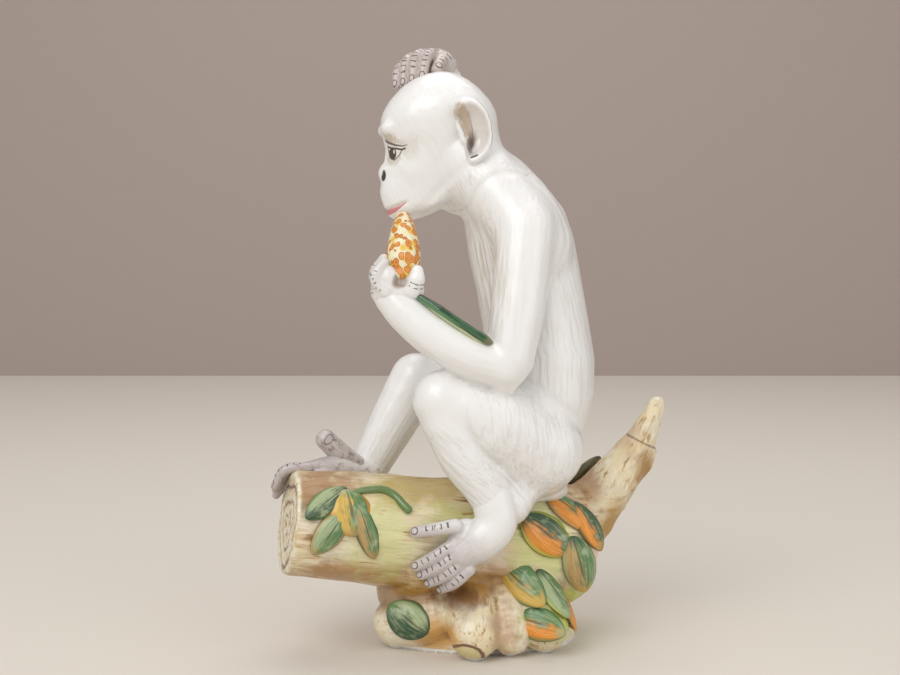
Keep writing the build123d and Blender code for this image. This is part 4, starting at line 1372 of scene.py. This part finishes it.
def ear(name, side):
    """A cup with a rolled rim and a tongue of clay running down into it, set on the side of the head."""
    bpy.ops.mesh.primitive_uv_sphere_add(segments=120, ring_count=64, radius=1, location=(0, 0, 0))
    piece = bpy.context.object
    unit = places_of(piece) * MM
    outer = unit[:, 2] > 0
    share = np.sqrt(unit[:, 0] ** 2 + unit[:, 1] ** 2)
    angle = np.degrees(np.arctan2(unit[:, 1], unit[:, 0]))
    angle = np.where(angle < -77, angle + 360, angle)
    table = np.array(EAR_CONTOUR, float)
    radius = np.interp(angle, table[:, 0], table[:, 1])
    forward = share * radius * np.cos(np.radians(angle))
    up = share * radius * np.sin(np.radians(angle))
    front_edge = ease(np.abs((angle + 20 + 180) % 360 - 180), 75, 45)
    rim = 2.6 * np.exp(-(((share - 0.84) / 0.13) ** 2)) * (1 - 0.8 * front_edge)
    bowl = -2.8 * (1 - ease(share, 0.30, 0.86))
    tongue_path = np.array([(8.5, 11.5), (5.0, 9.0), (2.6, 2.0), (1.0, -5.0)])
    gap = np.full(len(unit), 1e9)
    where = np.zeros(len(unit))
    for number, (start, end) in enumerate(zip(tongue_path[:-1], tongue_path[1:])):
        run = end - start
        flat = np.stack([forward, up], axis=1) - start
        along = np.clip(flat @ run / (run @ run), 0, 1)
        here = np.linalg.norm(flat - run * along[:, None], axis=1)
        where = np.where(here < gap, (number + along) / 3, where)
        gap = np.minimum(gap, here)
    tongue = ease(gap, 7.0 - 4.4 * where, 0.5) * (1 - where * 0.5)
    edge = np.sqrt(np.clip(1 - share ** 2, 0, 1))
    top = np.where(share > 0.93, edge / math.sqrt(1 - 0.93 ** 2), 1) * (1.2 + rim + bowl + tongue * 3.8)
    height = np.where(outer, top, -4.2 * edge)
    lean = math.radians(16)
    out = height + (-forward) * math.sin(lean) + 1.7
    ahead = forward * math.cos(lean)
    local = np.stack([EAR_MIDDLE[0] + ahead, 30.0 + out, EAR_MIDDLE[1] + up], axis=1)
    local[:, 1] *= side
    move_to(piece, HEAD + FORWARD * local[:, :1] + LEFTWARD * local[:, 1:2] + UPWARD * local[:, 2:])
    store(piece, "cup", np.stack([np.where(outer, share, 2.0), tongue * outer, np.radians(angle)], axis=1))
    store(piece, "spot", np.stack([forward, up, height], axis=1))
    piece.name = name + "_cup"
    apply_modifier(piece, "SMOOTH", factor=0.5, iterations=14)
    only(piece)
    bpy.ops.object.mode_set(mode="EDIT")
    bpy.ops.mesh.select_all(action="SELECT")
    bpy.ops.mesh.normals_make_consistent(inside=False)
    bpy.ops.object.mode_set(mode="OBJECT")
    bpy.ops.object.shade_smooth()
    return piece


def ear_glaze():
    paint = Paint("ear_glaze")
    here = paint.place()
    share, tongue, angle = paint.parts(paint.stored("cup"))
    forward, up, height = paint.parts(paint.stored("spot"))
    wobble = paint.noise(here, 0.35, 3.0) - 0.5
    # Beige in the cup: a wash of the glaze, with painted shade deeper in
    inside = paint.ramp(share + wobble * 0.2, 0.90, 0.62)
    colour = paint.mix(inside * 0.40, WHITE, (0.52, 0.42, 0.33))
    colour = paint.mix(paint.ramp(tongue + wobble * 0.5, 0.05, 0.6) * 0.85, colour, (0.44, 0.33, 0.22))
    # Painted shade: brown along the tongue's lower edge, beside the raised fold
    edge = paint.ramp(paint.size(tongue + wobble * 0.3 - 0.22), 0.16, 0.04) * paint.ramp(up, 12, 2)
    colour = paint.mix(edge * 0.5, colour, (0.24, 0.155, 0.09))
    # Painted shade: dark brown in the deepest part of the cup, where the ear opens
    opening_shade = paint.ramp(paint.oval(forward + up * 0.1, up + wobble * 4, (-0.2, -7.0), (4.0, 8.5)), 1.2, 0.1)
    colour = paint.mix(opening_shade, colour, (0.10, 0.065, 0.045))
    notch = paint.near_line(forward, up, (1.2, -14.8), (-2.4, -13.0))
    colour = paint.mix(paint.ramp(notch, 0.6, 0.25), colour, BROWN_LINE)
    return paint.glaze(colour, wobble, 0.3, 0.25, 0.9, 0.06)


ear_paint = ear_glaze()
for ear_name, ear_side in (("left_ear", 1), ("right_ear", -1)):
    finish(ear(ear_name, ear_side), ear_paint, "white_glaze", ear_name)


# Floor, backdrop, light and camera
def stage_set():
    bpy.ops.mesh.primitive_plane_add(size=6, location=(0, 0, 0))
    floor = bpy.context.object
    floor.name = "floor"
    paint = Paint("floor_cloth")
    floor.data.materials.append(paint.glaze((0.72, 0.67, 0.60), roughness=0.6, coat=0.0))
    bpy.ops.mesh.primitive_plane_add(size=8, location=(0, 1.6, 0), rotation=(math.pi / 2, 0, 0))
    backdrop = bpy.context.object
    backdrop.name = "backdrop"
    paint = Paint("backdrop_cloth")
    backdrop.data.materials.append(paint.glaze((0.40, 0.33, 0.30), roughness=0.8, coat=0.0))


def lamp(name, place, target, size, power):
    bpy.ops.object.light_add(type="AREA", location=place)
    light = bpy.context.object
    light.name = name
    light.data.shape = "RECTANGLE"
    light.data.size, light.data.size_y = size
    light.data.energy = power
    light.rotation_euler = (Vector(target) - Vector(place)).to_track_quat("-Z", "Y").to_euler()
    return light


def light_and_camera():
    lamp("key_lamp", (-0.9, -1.3, 1.5), (0, 0, 0.15), (1.4, 1.4), 19)
    lamp("fill_lamp", (1.3, -1.1, 0.8), (0, 0, 0.15), (1.2, 1.6), 6)
    lamp("top_lamp", (0.1, 0.5, 1.6), (0, 0, 0.15), (1.2, 1.2), 8)
    world = bpy.data.worlds.new("studio")
    bpy.context.scene.world = world
    world.use_nodes = True
    world.node_tree.nodes["Background"].inputs[0].default_value = (1.0, 0.99, 0.98, 1.0)
    world.node_tree.nodes["Background"].inputs[1].default_value = 0.6
    bpy.ops.object.camera_add(
        location=[c * MM for c in PHOTO_CAMERA], rotation=(math.radians(90 - PHOTO_PITCH), 0, 0)
    )
    camera = bpy.context.object
    camera.data.lens = PHOTO_LENS
    camera.data.sensor_width = PHOTO_SENSOR
    camera.data.clip_start = 0.01
    bpy.context.scene.camera = camera
    bpy.context.scene.view_settings.view_transform = "Standard"


stage_set()
light_and_camera()
